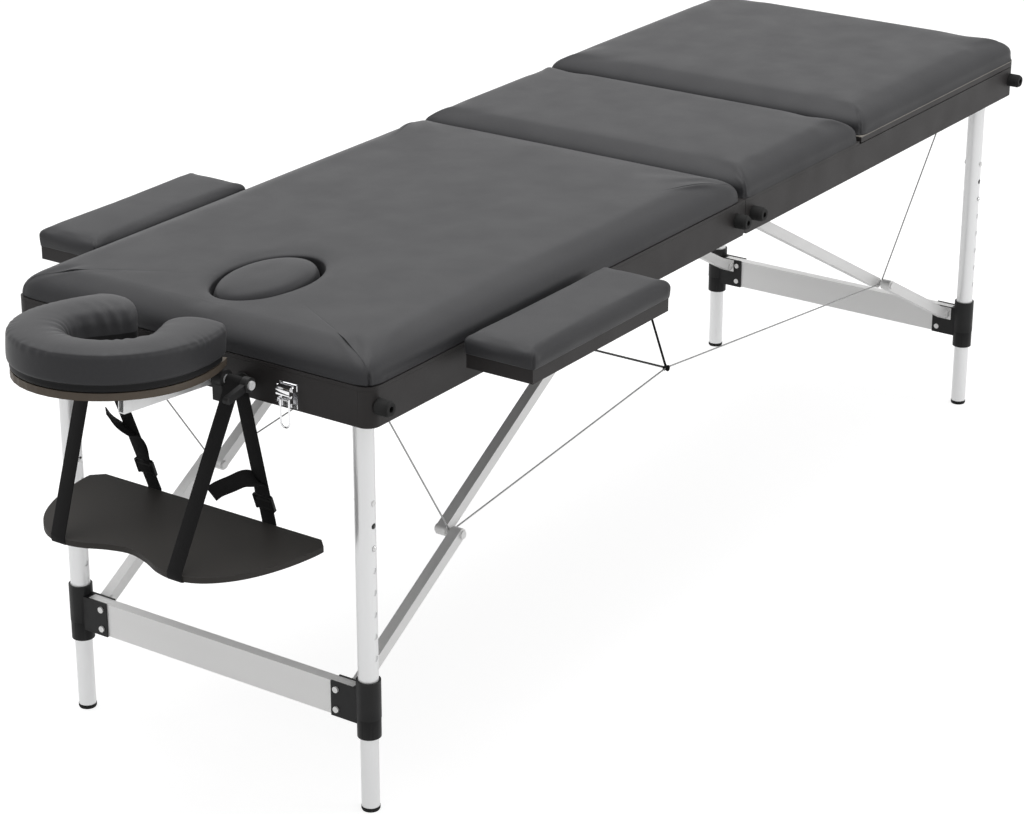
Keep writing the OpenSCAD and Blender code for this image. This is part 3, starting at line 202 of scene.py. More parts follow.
def vinyl(name, c, rough, spec):
    """Vinyl with soft dents, a leather grain and a faint sheen."""
    m = Mat(name, c, rough, spec=spec)
    m.tint(m.noise(3, 3), scaled(c, 1.18), 0.3)
    m.tint(m.noise(260, 2), scaled(c, 0.8), 0.35)
    m.gloss(m.noise(16, 3), 0.04)
    m.relief(m.noise(9, 2), 0.0018, 0.4)
    m.relief(m.cells(950), GRAIN, 0.5)
    m.relief(m.noise(1500, 2), GRAIN * 0.6, 0.4)
    m.b.inputs["Sheen Weight"].default_value = 0.06
    m.b.inputs["Sheen Roughness"].default_value = 0.4
    return m


def metal(name, c, rough, along, brush=0.00002, share=0.9):
    """Metal brushed along one way, with a share of metallic reflection."""
    m = Mat(name, c, rough, metal=share)
    m.tint(m.noise(5, 3), scaled(c, 0.9), 0.5)
    m.gloss(m.noise(60, 3, along), 0.06)
    m.relief(m.noise(420, 3, along), brush, 0.6)
    # lighter edges: partly wear, partly a painted highlight
    m.edge_wear_and_highlight(scaled(c, 1.08), 0.5)
    return m


LENGTHWAYS, ACROSS, UPRIGHT = (0.04, 1, 1), (1, 0.04, 1), (1, 1, 0.04)  # ways of a brushed grain
WRAP = (0.024, 0.0215, 0.0212)  # the colour of wrapped frames and boards
M = {
    "vinyl": vinyl("vinyl", (0.034, 0.034, 0.0365), 0.5, 0.27),
    # vinyl_dark: the cradle's black base band, and painted shade on the cradle's inner wall
    "vinyl_dark": vinyl("vinyl_dark", (0.009, 0.009, 0.0095), 0.55, 0.15),
    "wrapped_frame": vinyl("wrapped_frame", WRAP, 0.5, 0.24),
    "aluminium": metal("aluminium", (0.84, 0.843, 0.845), 0.38, UPRIGHT, share=0.5),
    "aluminium_flat": metal("aluminium_flat", (0.86, 0.857, 0.85), 0.45, ACROSS, share=0.3),
    "aluminium_brace": metal("aluminium_brace", (0.83, 0.827, 0.822), 0.45, LENGTHWAYS, share=0.3),
    "zinc_steel": metal("zinc_steel", (0.55, 0.55, 0.54), 0.3, LENGTHWAYS),
    "chrome": metal("chrome", (0.8, 0.8, 0.81), 0.12, ACROSS, 0.000004, 1.0),
    "button_steel": metal("button_steel", (0.6, 0.6, 0.6), 0.22, UPRIGHT),
}

m = Mat("black_rubber", (0.008, 0.008, 0.008), 0.66, spec=0.12)
m.tint(m.noise(40), (0.018, 0.0175, 0.017), 0.4)
m.relief(m.noise(700), 0.00008, 0.5)
# lighter edges: partly wear, partly a painted highlight
m.edge_wear_and_highlight((0.05, 0.05, 0.05), 0.5)
M["black_rubber"] = m

m = Mat("black_plastic", (0.0075, 0.0075, 0.008), 0.45, spec=0.16)
m.tint(m.noise(22), (0.014, 0.014, 0.0145), 0.5)
m.gloss(m.noise(90), 0.06)
m.relief(m.noise(900), 0.00005, 0.5)
# lighter edges: partly wear, partly a painted highlight
m.edge_wear_and_highlight((0.04, 0.04, 0.04), 0.6)
M["black_plastic"] = m

# the wrapped board is lighter in a thin line along its upper edge
m = vinyl("wrapped_board", WRAP, 0.5, 0.24)
split = m.t.nodes.new("ShaderNodeSeparateXYZ")
m.link(m.t.nodes.new("ShaderNodeTexCoord").outputs["Generated"], split.inputs[0])
m.tint(split.outputs["Z"], (0.3, 0.28, 0.25), 0.9, 0.84, 0.9)
M["wrapped_board"] = m

m = Mat("sling_board", (0.011, 0.0102, 0.0098), 0.58, spec=0.12)
m.tint(m.noise(5, 3), (0.024, 0.0215, 0.02), 0.6)
m.relief(m.noise(500, 3), 0.00012, 0.6)
m.relief(m.cells(700), 0.0001, 0.4)
# lighter rim: partly wear, partly a painted highlight
m.edge_wear_and_highlight((0.09, 0.085, 0.08), 0.6, 0.51, 0.56)
M["sling_board"] = m


def plywood(name, c, dark):
    """Plywood with a long grain and its plies as bands on the edges."""
    m = Mat(name, c, 0.55, spec=0.35)
    m.tint(m.noise(9, 5, (0.12, 1, 1), 0.6), dark, 0.7)
    m.tint(m.noise(70, 3, (0.04, 1, 1)), scaled(dark, 0.8), 0.4, 0.45, 0.75)
    m.tint(m.wave(210, "Z"), scaled(dark, 0.7), 0.45, 0.55, 0.9)
    m.gloss(m.noise(60, 3, (0.1, 1, 1)), 0.08)
    m.relief(m.noise(160, 4, (0.05, 1, 1)), 0.00012, 0.5)
    return m


M["plywood"] = plywood("plywood", (0.12, 0.1, 0.078), (0.07, 0.056, 0.042))
M["plywood_light"] = plywood("plywood_light", (0.13, 0.105, 0.08), (0.08, 0.062, 0.047))


def woven(name, c, light, fleck=0.0):
    """Webbing and braid on the piece's own UV map, whose unit is a centimetre."""
    m = Mat(name, c, 0.75, spec=0.12)
    m.where = m.t.nodes.new("ShaderNodeUVMap").outputs[0]
    cross = m.t.nodes.new("ShaderNodeMath")
    cross.operation = "MAXIMUM"
    m.link(m.wave(2.6, "DIAGONAL"), cross.inputs[0])
    m.link(m.wave(2.6, "DIAGONAL", turn=(0, 0, math.pi / 2)), cross.inputs[1])
    m.tint(cross.outputs[0], light, 0.55, 0.6, 1.0)
    if fleck:
        m.tint(m.wave(1.5, "Y"), (fleck, fleck, fleck), 0.9, 0.62, 0.75)
    m.relief(cross.outputs[0], 0.0003, 0.8)
    m.b.inputs["Sheen Weight"].default_value = 0.04
    return m


M["webbing"] = woven("webbing", (0.009, 0.009, 0.0095), (0.028, 0.027, 0.027))
M["elastic"] = woven("elastic", (0.011, 0.011, 0.011), (0.03, 0.03, 0.03))
M["elastic_braid"] = woven("elastic_braid", (0.02, 0.02, 0.02), (0.08, 0.08, 0.08), 0.5)
m = Mat("cable_steel", (0.5, 0.5, 0.5), 0.45, metal=0.6)
m.where = m.t.nodes.new("ShaderNodeUVMap").outputs[0]
strand = m.wave(4, "DIAGONAL")
m.tint(strand, (0.28, 0.28, 0.28), 0.7)
m.relief(strand, 0.0003, 0.8)
M["cable_steel"] = m

SLOT_OF = {"head_leg_tubes": "aluminium", "foot_leg_tubes": "aluminium",
           "head_crossbar": "aluminium_flat", "foot_crossbar": "aluminium_flat",
           "head_lower_links": "aluminium_brace", "foot_lower_links": "aluminium_brace",
           "head_upper_links": "aluminium_brace", "foot_upper_links": "aluminium_brace",
           "near_armrest_board": "wrapped_frame", "far_armrest_board": "wrapped_frame",
           "backrest_board": "wrapped_board"}
for name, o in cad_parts.items():
    for s in o.material_slots:
        key = s.material.name.split(".")[0] if s.material else "aluminium"
        key = SLOT_OF.get(name, key if key in M else "zinc_steel")
        s.material = M[key].m


# ---------------------------------------------------------------- mesh helpers
def mesh_object(name, verts, faces, mats, index=None, uv=None):
    """A smooth mesh, with a material index per face and a UV point per vertex if given."""
    me = bpy.data.meshes.new(name)
    me.from_pydata([tuple(v) for v in verts], [], faces)
    for k in mats:
        me.materials.append(M[k].m)
    if index is not None:
        me.polygons.foreach_set("material_index", index)
    me.polygons.foreach_set("use_smooth", [True] * len(me.polygons))
    if uv is not None:
        layer = me.uv_layers.new(name="map")
        layer.data.foreach_set("uv", [c for f in faces for v in f for c in uv[v]])
    me.update()
    o = bpy.data.objects.new(name, me)
    scene.collection.objects.link(o)
    return o


def band(rows, cols, wrap=False):
    """Quads between closed rows of vertices, numbered row by row; wrap joins the last row to the first."""
    out = []
    for i in range(rows if wrap else rows - 1):
        a, b = i * cols, (i + 1) % rows * cols
        for j in range(cols):
            k = (j + 1) % cols
            out.append((a + j, a + k, b + k, b + j))
    return out


def coords_of(o):
    v = np.empty(len(o.data.vertices) * 3)
    o.data.vertices.foreach_get("co", v)
    return v.reshape(-1, 3)


def normals_of(o):
    n = np.empty(len(o.data.vertices) * 3)
    o.data.vertices.foreach_get("normal", n)
    return n.reshape(-1, 3)


def put(o, v):
    """Moves the vertices of an object to new places."""
    o.data.vertices.foreach_set("co", v.reshape(-1))
    o.data.update()


CLOTH_FRAMES = 16


def puff(o, pinned, pressure, cap):
    """A short cloth simulation under pressure, whose moves are capped in mm, written to the mesh."""
    g = o.vertex_groups.new(name="pin")
    g.add([int(i) for i in pinned], 1.0, "REPLACE")
    c = o.modifiers.new("cloth", "CLOTH")
    c.settings.vertex_group_mass = "pin"
    c.settings.quality = 4
    c.settings.use_pressure = True
    c.settings.uniform_pressure_force = pressure
    c.settings.effector_weights.gravity = 0
    c.settings.bending_stiffness = 2.0
    c.collision_settings.use_collision = False
    c.point_cache.frame_start = 1
    c.point_cache.frame_end = CLOTH_FRAMES
    for f in range(1, CLOTH_FRAMES + 1):
        scene.frame_set(f)
    e = o.evaluated_get(bpy.context.evaluated_depsgraph_get())
    new = np.array([v.co for v in e.data.vertices])
    old = coords_of(o)
    o.modifiers.remove(c)
    o.vertex_groups.clear()
    scene.frame_set(1)
    d = new - old
    size = np.maximum(np.linalg.norm(d, axis=1), 1e-9)
    put(o, old + d * (cap * MM * np.tanh(size / (cap * MM)) / size)[:, None])


def subdivide(o):
    """Applies one level of subdivision."""
    s = o.modifiers.new("sub", "SUBSURF")
    s.levels = s.render_levels = 1
    s.boundary_smooth = "PRESERVE_CORNERS"
    me = bpy.data.meshes.new_from_object(o.evaluated_get(bpy.context.evaluated_depsgraph_get()))
    o.modifiers.remove(s)
    old = o.data
    o.data = me
    bpy.data.meshes.remove(old)
    me.name = o.name


def close_below(o):
    """Closes the open underside with one face."""
    b = bmesh.new()
    b.from_mesh(o.data)
    edges = [e for e in b.edges if e.is_boundary]
    bmesh.ops.holes_fill(b, edges=edges, sides=0)
    b.to_mesh(o.data)
    b.free()


FADE_IN, FADE_OUT = 0.25, 0.1  # shares of a groove's length
LIP_AT, LIP_WIDTH, LIP_HEIGHT = 1.9, 0.8, 0.28  # a groove's raised lips, in its widths and depths


def crease(o, path, width, depth):
    """Presses a groove along a path into the surface, fading out at its start and end, in mm."""
    v, n = coords_of(o), normals_of(o)
    path = np.array(path)
    seg = np.linalg.norm(np.diff(path, axis=0), axis=1)
    total = seg.sum()
    best = np.full(len(v), 1e9)
    at = np.zeros(len(v))
    run = 0.0
    for a, b, length in zip(path[:-1], path[1:], seg):
        t = np.clip(((v - a) @ (b - a)) / length ** 2, 0, 1)
        d = np.linalg.norm(v - (a + t[:, None] * (b - a)), axis=1)
        near = d < best
        best[near] = d[near]
        at[near] = (run + t[near] * length) / total
        run += length
    fade = np.clip(at / FADE_IN, 0, 1) * np.clip((1 - at) / FADE_OUT, 0, 1)
    w = width * MM
    groove = np.exp(-(best / w) ** 2) * fade
    lip = np.exp(-((best - LIP_AT * w) / (LIP_WIDTH * w)) ** 2) * fade
    put(o, v - n * ((depth * groove - LIP_HEIGHT * depth * lip) * MM)[:, None])


# ---------------------------------------------------------------- cords and cables
LOBE_DEPTH = 0.16  # of a laid cord's strands, in its radii


def tube(name, pts, radius, key, sides=8, lobes=0, turns=0.0):
    """A tube along points in the row frame, in metres, with a UV map in centimetres."""
    pts = np.array(pts)
    d = np.gradient(pts, axis=0)
    d /= np.linalg.norm(d, axis=1)[:, None]
    side = np.cross(d[0], (0.0, 0.0, 1.0))
    if np.linalg.norm(side) < 0.1:
        side = np.cross(d[0], (1.0, 0.0, 0.0))
    verts, uv, run = [], [], 0.0
    for i, p in enumerate(pts):
        side = side - d[i] * (side @ d[i])
        side /= np.linalg.norm(side)
        other = np.cross(d[i], side)
        run += np.linalg.norm(p - pts[i - 1]) if i else 0
        for j in range(sides):
            a = 2 * math.pi * j / sides
            r = radius * (1 - LOBE_DEPTH * (lobes > 0) * (1 + math.cos(lobes * a + run * turns)) / 2)
            verts.append(p + r * (math.cos(a) * side + math.sin(a) * other))
            uv.append((a / 6.283 * radius * 628, run * CM))
    faces = [f[::-1] for f in band(len(pts), sides)]
    n = len(verts)
    faces += [tuple(range(sides)), tuple(reversed(range(n - sides, n)))]
    return mesh_object(name, verts, faces, [key], uv=uv)


def line(a, b, n):
    """n points from a to b."""
    return [a + (b - a) * t for t in np.linspace(0, 1, n)]


def taut(name, pts, radius, key, slot, **more):
    """A taut cord or cable along points."""
    o = tube(name, pts, radius, key, **more)
    return o


CABLE_R, CORD_R = 1.2 * MM, 1.8 * MM
CABLE_Y = 213  # of the elbows and knots, mm from the table's middle
KNOT_X, KNOT_Z = 70, 366  # where the elastic cords meet the long cables
SIDES = ((-1, "near"), (1, "far"))
for s, side in SIDES:
    y = CABLE_Y * s
    for where, place, elbow in (("head", head, (634.25, 306.30)), ("foot", foot, (633.18, 293.90))):
        top, low = place(839, 230 * s, 601.8), place(elbow[0] + 3.6, y, elbow[1] + 4.8)
        o = taut(f"{where}_leg_cable_{side}", line(top, low, 24), CABLE_R, "cable_steel", "cable_steel")
        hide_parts(f"{where}_cables")
        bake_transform(o)
    runs = [("head_long_cable", head(629.25, y, 306.3), head(74, y, 366), "head_half", "head_cables"),
            ("foot_long_cable", foot(628.18, y, 293.9), foot(1, y, 358.9), "foot_half", "foot_cables"),
            ("fold_cable", foot(1, y, 358.9), head(66, y, 366), "head_half", "foot_cables")]
    for name, a, b, body, node in runs:
        o = taut(f"{name}_{side}", line(a, b, 60 if "long" in name else 10), CABLE_R, "cable_steel",
                 "cable_steel")
        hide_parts(node)
        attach(o, body)
        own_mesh(o)
    o = taut(f"elastic_{side}", line(head(70, 211.2 * s, 369.6), head(30, 100 * s, 586.6), 40),
             CORD_R, "elastic", "elastic")
    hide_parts("elastic_cords")
    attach(o, "head_half")
    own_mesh(o)
o = taut("elastic_cross", line(head(KNOT_X, -CABLE_Y, KNOT_Z), head(KNOT_X, CABLE_Y, KNOT_Z), 140),
         CORD_R, "elastic_braid", "elastic", sides=12, lobes=3, turns=900)
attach(o, "head_half")
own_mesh(o)


def knot(name, centre, r, key):
    """A small overhand knot."""
    pts = []
    for t in np.linspace(0, 2 * math.pi, 60, endpoint=False):
        pts.append(centre + r * MM * np.array([
            0.42 * (math.sin(t) + 1.4 * math.sin(2 * t)), 0.42 * (math.cos(t) - 1.4 * math.cos(2 * t)),
            -0.7 * math.sin(3 * t)]))
    pts.append(pts[0])
    return tube(name, pts, 1.7 * MM, key)


for s, side in SIDES:
    o = knot(f"knot_{side}", head(KNOT_X, CABLE_Y * s, KNOT_Z), 4.4, "elastic")
    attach(o, "head_half")
    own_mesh(o)


# ---------------------------------------------------------------- table cushions
WALL_CURVE = 2.2  # how the walls of a pad draw in towards their foot
CORNERS = ((-1, -1), (-1, 1), (1, -1), (1, 1))


class Pad:
    """A crowned pad on a rounded rectangle, in mm about its middle.

    It runs from x0 to x1 and half to each side, from z0 up to top. Its edge is rolled over reach inwards
    and roll downwards, draw is how far the foot of the wall stands in, and n squares the corner.
    """

    def __init__(self, place, x0, x1, half, z0, top, reach, roll, draw, n=5.0, crown=2.5):
        self.place, self.mid = place, (x0 + x1) / 2
        self.a, self.b, self.z0, self.top = (x1 - x0) / 2, half, z0, top
        self.reach, self.roll, self.draw, self.n, self.crown = reach, roll, draw, n, crown

    def unit(self, x, y):
        """How far a point is over the rolled edge each way, from 0 to 1."""
        r = self.reach
        return max(0.0, (abs(x) - self.a + r) / r), max(0.0, (abs(y) - self.b + r) / r)

    def settle(self, x, y):
        """Takes a corner of the square grid onto the rounded corner."""
        u, v = self.unit(x, y)
        if u > 0 and v > 0:
            k = max(u, v) / (u ** self.n + v ** self.n) ** (1 / self.n)
            r = self.reach
            x = math.copysign(self.a - r + r * u * k, x)
            y = math.copysign(self.b - r + r * v * k, y)
        return x, y

    def height(self, x, y):
        """The top of the pad over a point, with its crown and its rolled edge."""
        u, v = self.unit(x, y)
        e = min(1.0, (u ** self.n + v ** self.n) ** (1 / self.n))
        rise = self.crown * (1 - min(1, abs(x / self.a)) ** 2) * (1 - min(1, abs(y / self.b)) ** 2)
        return self.top + rise - self.roll * (1 - math.sqrt(max(0.0, 1 - e * e)))

    def axis(self, half, step, m):
        """Grid lines along one axis: m over each rolled edge, and even steps between."""
        r = self.reach
        edge = [half - r + r * math.sin(k / m * math.pi / 2) for k in range(1, m + 1)]
        n = max(2, round(2 * (half - r) / step))
        mid = list(np.linspace(-(half - r), half - r, n + 1))
        return [-e for e in reversed(edge)] + mid + edge

    def outline(self, step, m):
        """The boundary of the grid, from the corner at the low x and y, counterclockwise."""
        xs, ys = self.axis(self.a, step, m), self.axis(self.b, step, m)
        loop = [(x, ys[0]) for x in xs[:-1]] + [(xs[-1], y) for y in ys[:-1]]
        loop += [(x, ys[-1]) for x in reversed(xs[1:])] + [(xs[0], y) for y in reversed(ys[1:])]
        return [self.settle(x, y) for x, y in loop]

    def walls(self, loop, steps):
        """Rings of the side below the outline, drawn in towards the bottom."""
        p = np.array(loop)
        t = np.roll(p, -1, 0) - np.roll(p, 1, 0)
        t /= np.linalg.norm(t, axis=1)[:, None]
        inward = np.stack([-t[:, 1], t[:, 0]], 1)
        side = self.top - self.roll
        rings = []
        for k in range(1, steps + 1):
            f = k / steps
            q = p + inward * (self.draw * f ** WALL_CURVE)
            rings.append([(x, y, side + (self.z0 - side) * f) for x, y in q])
        return rings

    def point(self, x, y, z):
        """A point of the pad in the row frame."""
        return self.place(self.mid + x, y, z)


def pillow(name, pad, key, step, m, wall, pressure, cap, y0=0.0):
    """A pad without a hole, on a square grid that is fine along its edges."""
    xs, ys = pad.axis(pad.a, step, m), pad.axis(pad.b, step, m)
    verts, number = [], {}
    for i, x in enumerate(xs):
        for j, y in enumerate(ys):
            px, py = pad.settle(x, y)
            number[i, j] = len(verts)
            verts.append((px, py, pad.height(px, py)))
    faces = [(number[i, j], number[i + 1, j], number[i + 1, j + 1], number[i, j + 1])
             for i in range(len(xs) - 1) for j in range(len(ys) - 1)]
    a, b = len(xs) - 1, len(ys) - 1
    rim = ([number[i, 0] for i in range(a)] + [number[a, j] for j in range(b)]
           + [number[i, b] for i in range(a, 0, -1)] + [number[0, j] for j in range(b, 0, -1)])
    last = rim
    for ring in pad.walls([verts[i][:2] for i in rim], wall):
        now = list(range(len(verts), len(verts) + len(ring)))
        verts += ring
        n = len(ring)
        faces += [(last[k], now[k], now[(k + 1) % n], last[(k + 1) % n]) for k in range(n)]
        last = now
    if pad.point(1, 0, 0)[0] < pad.point(0, 0, 0)[0]:
        faces = [f[::-1] for f in faces]
    out = [pad.point(x, y + y0, z) for x, y, z in verts]
    o = mesh_object(name, out, faces, [key])
    puff(o, last, pressure, cap)
    subdivide(o)
    return o


def pleat(o, pad, sx, sy, into=30.0, width=1.9, depth=3.2, y0=0.0, skew=0.0):
    """The tuck at a corner: from the top of the pad over its edge and down the side."""
    path = []
    for d in np.linspace(into, 0, 8):
        x, y = sx * (pad.a - d * (1 + skew)), sy * (pad.b - d)
        x, y = pad.settle(x, y)
        path.append(pad.point(x, y + y0, pad.height(x, y)))
    x, y = pad.settle(sx * pad.a, sy * pad.b)
    side = pad.top - pad.roll
    for f in (0.3, 0.65, 1.0):
        k = pad.draw * f ** WALL_CURVE
        path.append(pad.point(x - sx * k * 0.7, y + y0 - sy * k * 0.7, side + (pad.z0 - side) * f))
    crease(o, path, width, depth)


STEP = 15
EDGE_STEPS, WALL_STEPS, RIM_STEPS = 10, 4, 4  # rows over a rolled edge, down a wall, at the hole's rim
seat = Pad(foot, 0.5, 357, 302, 632.05, 670, 42, 25, 0, n=8)
rest = Pad(foot, 363, 925, 302, 639.4, 676.5, 42, 24, 0, n=5)
main = Pad(head, 0.5, 925, 302, 632.05, 670, 46, 28, 0, n=4)

o = pillow("seat_pad", seat, "vinyl", STEP, EDGE_STEPS, WALL_STEPS, 4.0, 3.0)
for sx, sy in CORNERS:
    pleat(o, seat, sx, sy, skew=-0.4)
close_below(o)
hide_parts("seat_cushion")
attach(o, "foot_half")

o = pillow("backrest_pad", rest, "vinyl", STEP, EDGE_STEPS, WALL_STEPS, 4.0, 3.0)
for sx, sy in CORNERS:
    pleat(o, rest, sx, sy, into=22)
close_below(o)
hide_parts("backrest_cushion")
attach(o, "backrest")

HOLE_X = 755  # the face hole's middle, from the fold
HOLE, HOLE_RX, HOLE_RY, RIM = HOLE_X - main.mid, 97.0, 60.0, 6.0
RIM_DROP = 4  # how far the hole's rim, RIM wide, rolls down


def head_cushion():
    """The head cushion, on spokes from its outline to the face hole."""
    loop = main.outline(STEP, EDGE_STEPS)
    count = len(loop)
    band_in = [main.reach * (1 - math.sin(k / EDGE_STEPS * math.pi / 2)) for k in range(EDGE_STEPS, -1, -1)]
    rim_in = [RIM * (1 - math.sin(k / RIM_STEPS * math.pi / 2)) for k in range(RIM_STEPS + 1)]
    mids = 36
    spokes = []
    for x, y in loop:
        a = math.atan2(y / HOLE_RY, (x - HOLE) / HOLE_RX)
        hx, hy = HOLE + HOLE_RX * math.cos(a), HOLE_RY * math.sin(a)
        length = math.dist((x, y), (hx, hy))
        dx, dy = (hx - x) / length, (hy - y) / length
        # a spoke that meets the edge at a slant takes longer steps, so that the rolled edge stays whole
        slant = max(abs(dx) if abs(abs(x) - main.a) < abs(abs(y) - main.b) else abs(dy), 0.35)
        outer = [d / slant for d in band_in]
        if outer[-1] > length * 0.75:
            outer = [d * length * 0.75 / outer[-1] for d in outer]
        inner = [length - d for d in rim_in]
        mid = list(np.linspace(outer[-1], inner[0], mids + 2))[1:-1]
        spokes.append([(x + dx * d, y + dy * d) for d in outer + mid + inner])
    rows = []
    for r in range(len(spokes[0])):
        row = []
        for s in spokes:
            x, y = s[r]
            z = main.height(x, y)
            e = math.hypot((x - HOLE) / HOLE_RX, y / HOLE_RY)
            near = (e - 1) * (HOLE_RX * HOLE_RY) ** 0.5
            if near < RIM:
                u = min(1.0, 1 - max(0.0, near) / RIM)
                z -= RIM_DROP * (1 - math.sqrt(1 - u * u))
            row.append((x, y, z))
        rows.append(row)
    hole = rows[-1]
    rows = list(reversed(main.walls(loop, WALL_STEPS))) + rows
    for f in (0.25, 0.6, 1.0):
        rows.append([(x + (x - HOLE) * 0.01, y * 1.01, z + (main.z0 - z) * f) for x, y, z in hole])
    verts = [main.point(*p) for row in rows for p in row]
    faces = [f[::-1] for f in band(len(rows), count, wrap=True)]
    o = mesh_object("head_pad", verts, faces, ["vinyl"])
    n = len(verts)
    puff(o, [*range(count), *range(n - count, n)], 4.0, 3.0)
    subdivide(o)
    return o


o = head_cushion()
for sy in (-1, 1):
    pleat(o, main, 1, sy, into=22)
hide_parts("head_cushion")
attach(o, "head_half")

ARM_Y = 372.0  # an armrest's middle
for s, side in SIDES:
    arm = Pad(head, 412, 748, 56, 629.3, 655.2, 16, 11, 1.5, crown=0.8)
    o = pillow(f"{side}_arm_pad", arm, "vinyl", 9, 7, 5, 3.0, 1.6, y0=ARM_Y * s)
    for sx, sy in CORNERS:
        pleat(o, arm, sx, sy, into=11, width=1.6, depth=1.2, y0=ARM_Y * s)
    close_below(o)
    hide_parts(f"{side}_armrest_pad")
    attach(o, f"{side}_armrest")


PLUG_RX, PLUG_RY = 93, 56


def plug():
    """The face hole's plug, turned from a profile of shares of its radii and heights."""
    rings, n = [], 96
    prof = [(0.94, 633.4), (0.99, 640), (0.99, 654), (0.975, 661), (0.95, 666), (0.92, 670), (0.875, 673.2),
            (0.805, 675.8), (0.705, 677.8), (0.57, 679.2), (0.41, 680), (0.25, 680.3), (0.1, 680.5)]
    for k, z in prof:
        rings.append([head(HOLE_X + PLUG_RX * k * math.cos(a), PLUG_RY * k * math.sin(a), z)
                      for a in np.linspace(0, 2 * math.pi, n, endpoint=False)])
    verts = [p for r in rings for p in r]
    faces = band(len(rings), n)
    verts.append(head(HOLE_X, 0, prof[-1][1]))
    c = len(verts) - 1
    base = (len(rings) - 1) * n
    faces += [(base + j, base + (j + 1) % n, c) for j in range(n)]
    faces = [f[::-1] for f in faces]
    o = mesh_object("plug_pad", verts, faces, ["vinyl"])
    puff(o, range(2 * n), 3.0, 1.5)
    subdivide(o)
    close_below(o)
    return o


o = plug()
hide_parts("face_plug")
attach(o, "plug")


# ---------------------------------------------------------------- face cradle
# The horseshoe seen from above, mm from the tilt axis: where its front bend starts, its front and rear
# ends, its half width, and the inner bend's radii; then the share of its length that is one arm, half the
# mouth between the arms, how far the mouth's sides slant, and the share by which the arms draw in.
BEND, FRONT, REAR, HALF_W, IN_RX, IN_RY = 95.9, 240.0, -22.0, 125.0, 62.1, 50.0
ARM, MOUTH, SLANT, DRAW = 0.24, 20.0, 34.0, 0.24
PAD_BASE, PAD_HEIGHT = 22, 50  # above the tilt axis
END_ROUND, END_STEPS = 30.0, 12  # the rounding of the arms' ends


def shoe(t):
    """Outer and inner points of the horseshoe at station t, from one arm's end to the other's."""
    a = math.radians(-90 if t < ARM else 90 if t > 1 - ARM else -90 + 180 * (t - ARM) / (1 - 2 * ARM))
    s = max(0.0, 1 - min(t, 1 - t) / ARM)
    x = BEND - s * (BEND - REAR)
    outer = HALF_W * (1 - DRAW * s * s)
    inner = IN_RY - (IN_RY - MOUTH) * math.sin(math.pi / 2 * s) ** 1.3
    return ((x + (FRONT - BEND) * math.cos(a), outer * math.sin(a)),
            (x + s * SLANT + IN_RX * math.cos(a), inner * math.sin(a)))


# across the ring, from outside to inside: share of the width, share of the height
RING = [(0.058, 0.0), (0.05, 0.04), (0.05, 0.19), (0.052, 0.215), (0.016, 0.235), (0.004, 0.27),
        (0.0, 0.36), (-0.004, 0.5), (-0.004, 0.66), (-0.002, 0.8), (0.0, 0.9), (0.008, 0.95),
        (0.026, 0.975), (0.055, 1.0), (0.1, 1.02), (0.17, 1.04), (0.25, 1.06), (0.35, 1.075),
        (0.45, 1.08), (0.56, 1.08), (0.66, 1.07), (0.75, 1.045), (0.83, 1.0), (0.89, 0.925),
        (0.935, 0.82), (0.965, 0.69), (0.98, 0.55), (0.99, 0.4), (0.99, 0.22), (0.975, 0.05), (0.96, 0.0)]
# rows of the ring: the last of the dark base band, the outer seam, and the inner seam, past which the inner
# wall is painted dark as shade
BASE_END, OUTER_SEAM, INNER_SEAM = 2, 11, 26


def cradle_cushion():
    """The horseshoe cushion: RING carried along both outlines of shoe(), its arms' ends rounded."""
    n = 190
    end = END_ROUND / ((BEND - REAR) / ARM)
    ts = [end * (1 - math.cos(k / END_STEPS * math.pi / 2)) for k in range(END_STEPS)]
    ts = ts + list(np.linspace(end, 1 - end, n)) + [1 - t for t in reversed(ts)]
    rows = []
    for t in ts:
        p, q = shoe(min(max(t, 0.0), 1.0))
        d = min(t, 1 - t) / end
        w = max(0.02, math.sqrt(max(0.0, 1 - (1 - min(1.0, d)) ** 2)))
        row = []
        for share, h in RING:
            k = 0.5 + (share - 0.5) * w
            h = h if h < 0.76 else 0.76 + (h - 0.76) * w ** 0.8
            row.append((p[0] + (q[0] - p[0]) * k, p[1] + (q[1] - p[1]) * k, PAD_BASE + PAD_HEIGHT * h))
        rows.append(row)
    verts = [cradle(*p) for row in rows for p in row]
    m = len(RING)
    faces = band(len(rows), m)
    # the base band is dark vinyl; past the inner seam the dark vinyl is painted shade on the inner wall
    index = [int(j % m <= BASE_END or j % m > INNER_SEAM) for j in range(len(faces))]
    a = len(verts)
    faces += [tuple(reversed(range(m))), tuple(range(a - m, a))]
    index += [1, 1]
    o = mesh_object("cradle_pad", verts, faces, ["vinyl", "vinyl_dark"], index)
    puff(o, [i * m + j for i in range(len(rows)) for j in (0, 1, 2, 3, m - 1, m - 2)], 3.0, 2.0)
    # puckers at both seams, fading into the top, and the creases of the seams themselves
    v, nor = coords_of(o), normals_of(o)
    move = np.zeros(len(v))
    run = 0.0
    for i in range(len(rows)):
        if i:
            run += math.dist(rows[i][8][:2], rows[i - 1][8][:2])
        out_w = math.sin(run * 0.43 + 1.3 * math.sin(run * 0.11)) * (0.6 + 0.4 * math.sin(run * 0.057))
        in_w = math.sin(run * 0.21 + 1.7 * math.sin(run * 0.05)) * (0.55 + 0.45 * math.sin(run * 0.031 + 1))
        for j in range(OUTER_SEAM - 1, OUTER_SEAM + 7):
            move[i * m + j] += 0.9 * out_w * math.exp(-((j - OUTER_SEAM) / 2.2) ** 2)
        for j in range(INNER_SEAM - 9, INNER_SEAM + 2):
            move[i * m + j] += 1.7 * in_w * math.exp(-((j - INNER_SEAM + 2) / 3.0) ** 2)
        move[i * m + OUTER_SEAM] -= 1.3
        move[i * m + INNER_SEAM] -= 0.9
    put(o, v + nor * (move * MM)[:, None])
    subdivide(o)
    return o


o = cradle_cushion()
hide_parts("cradle_cushion")
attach(o, "cradle_top")


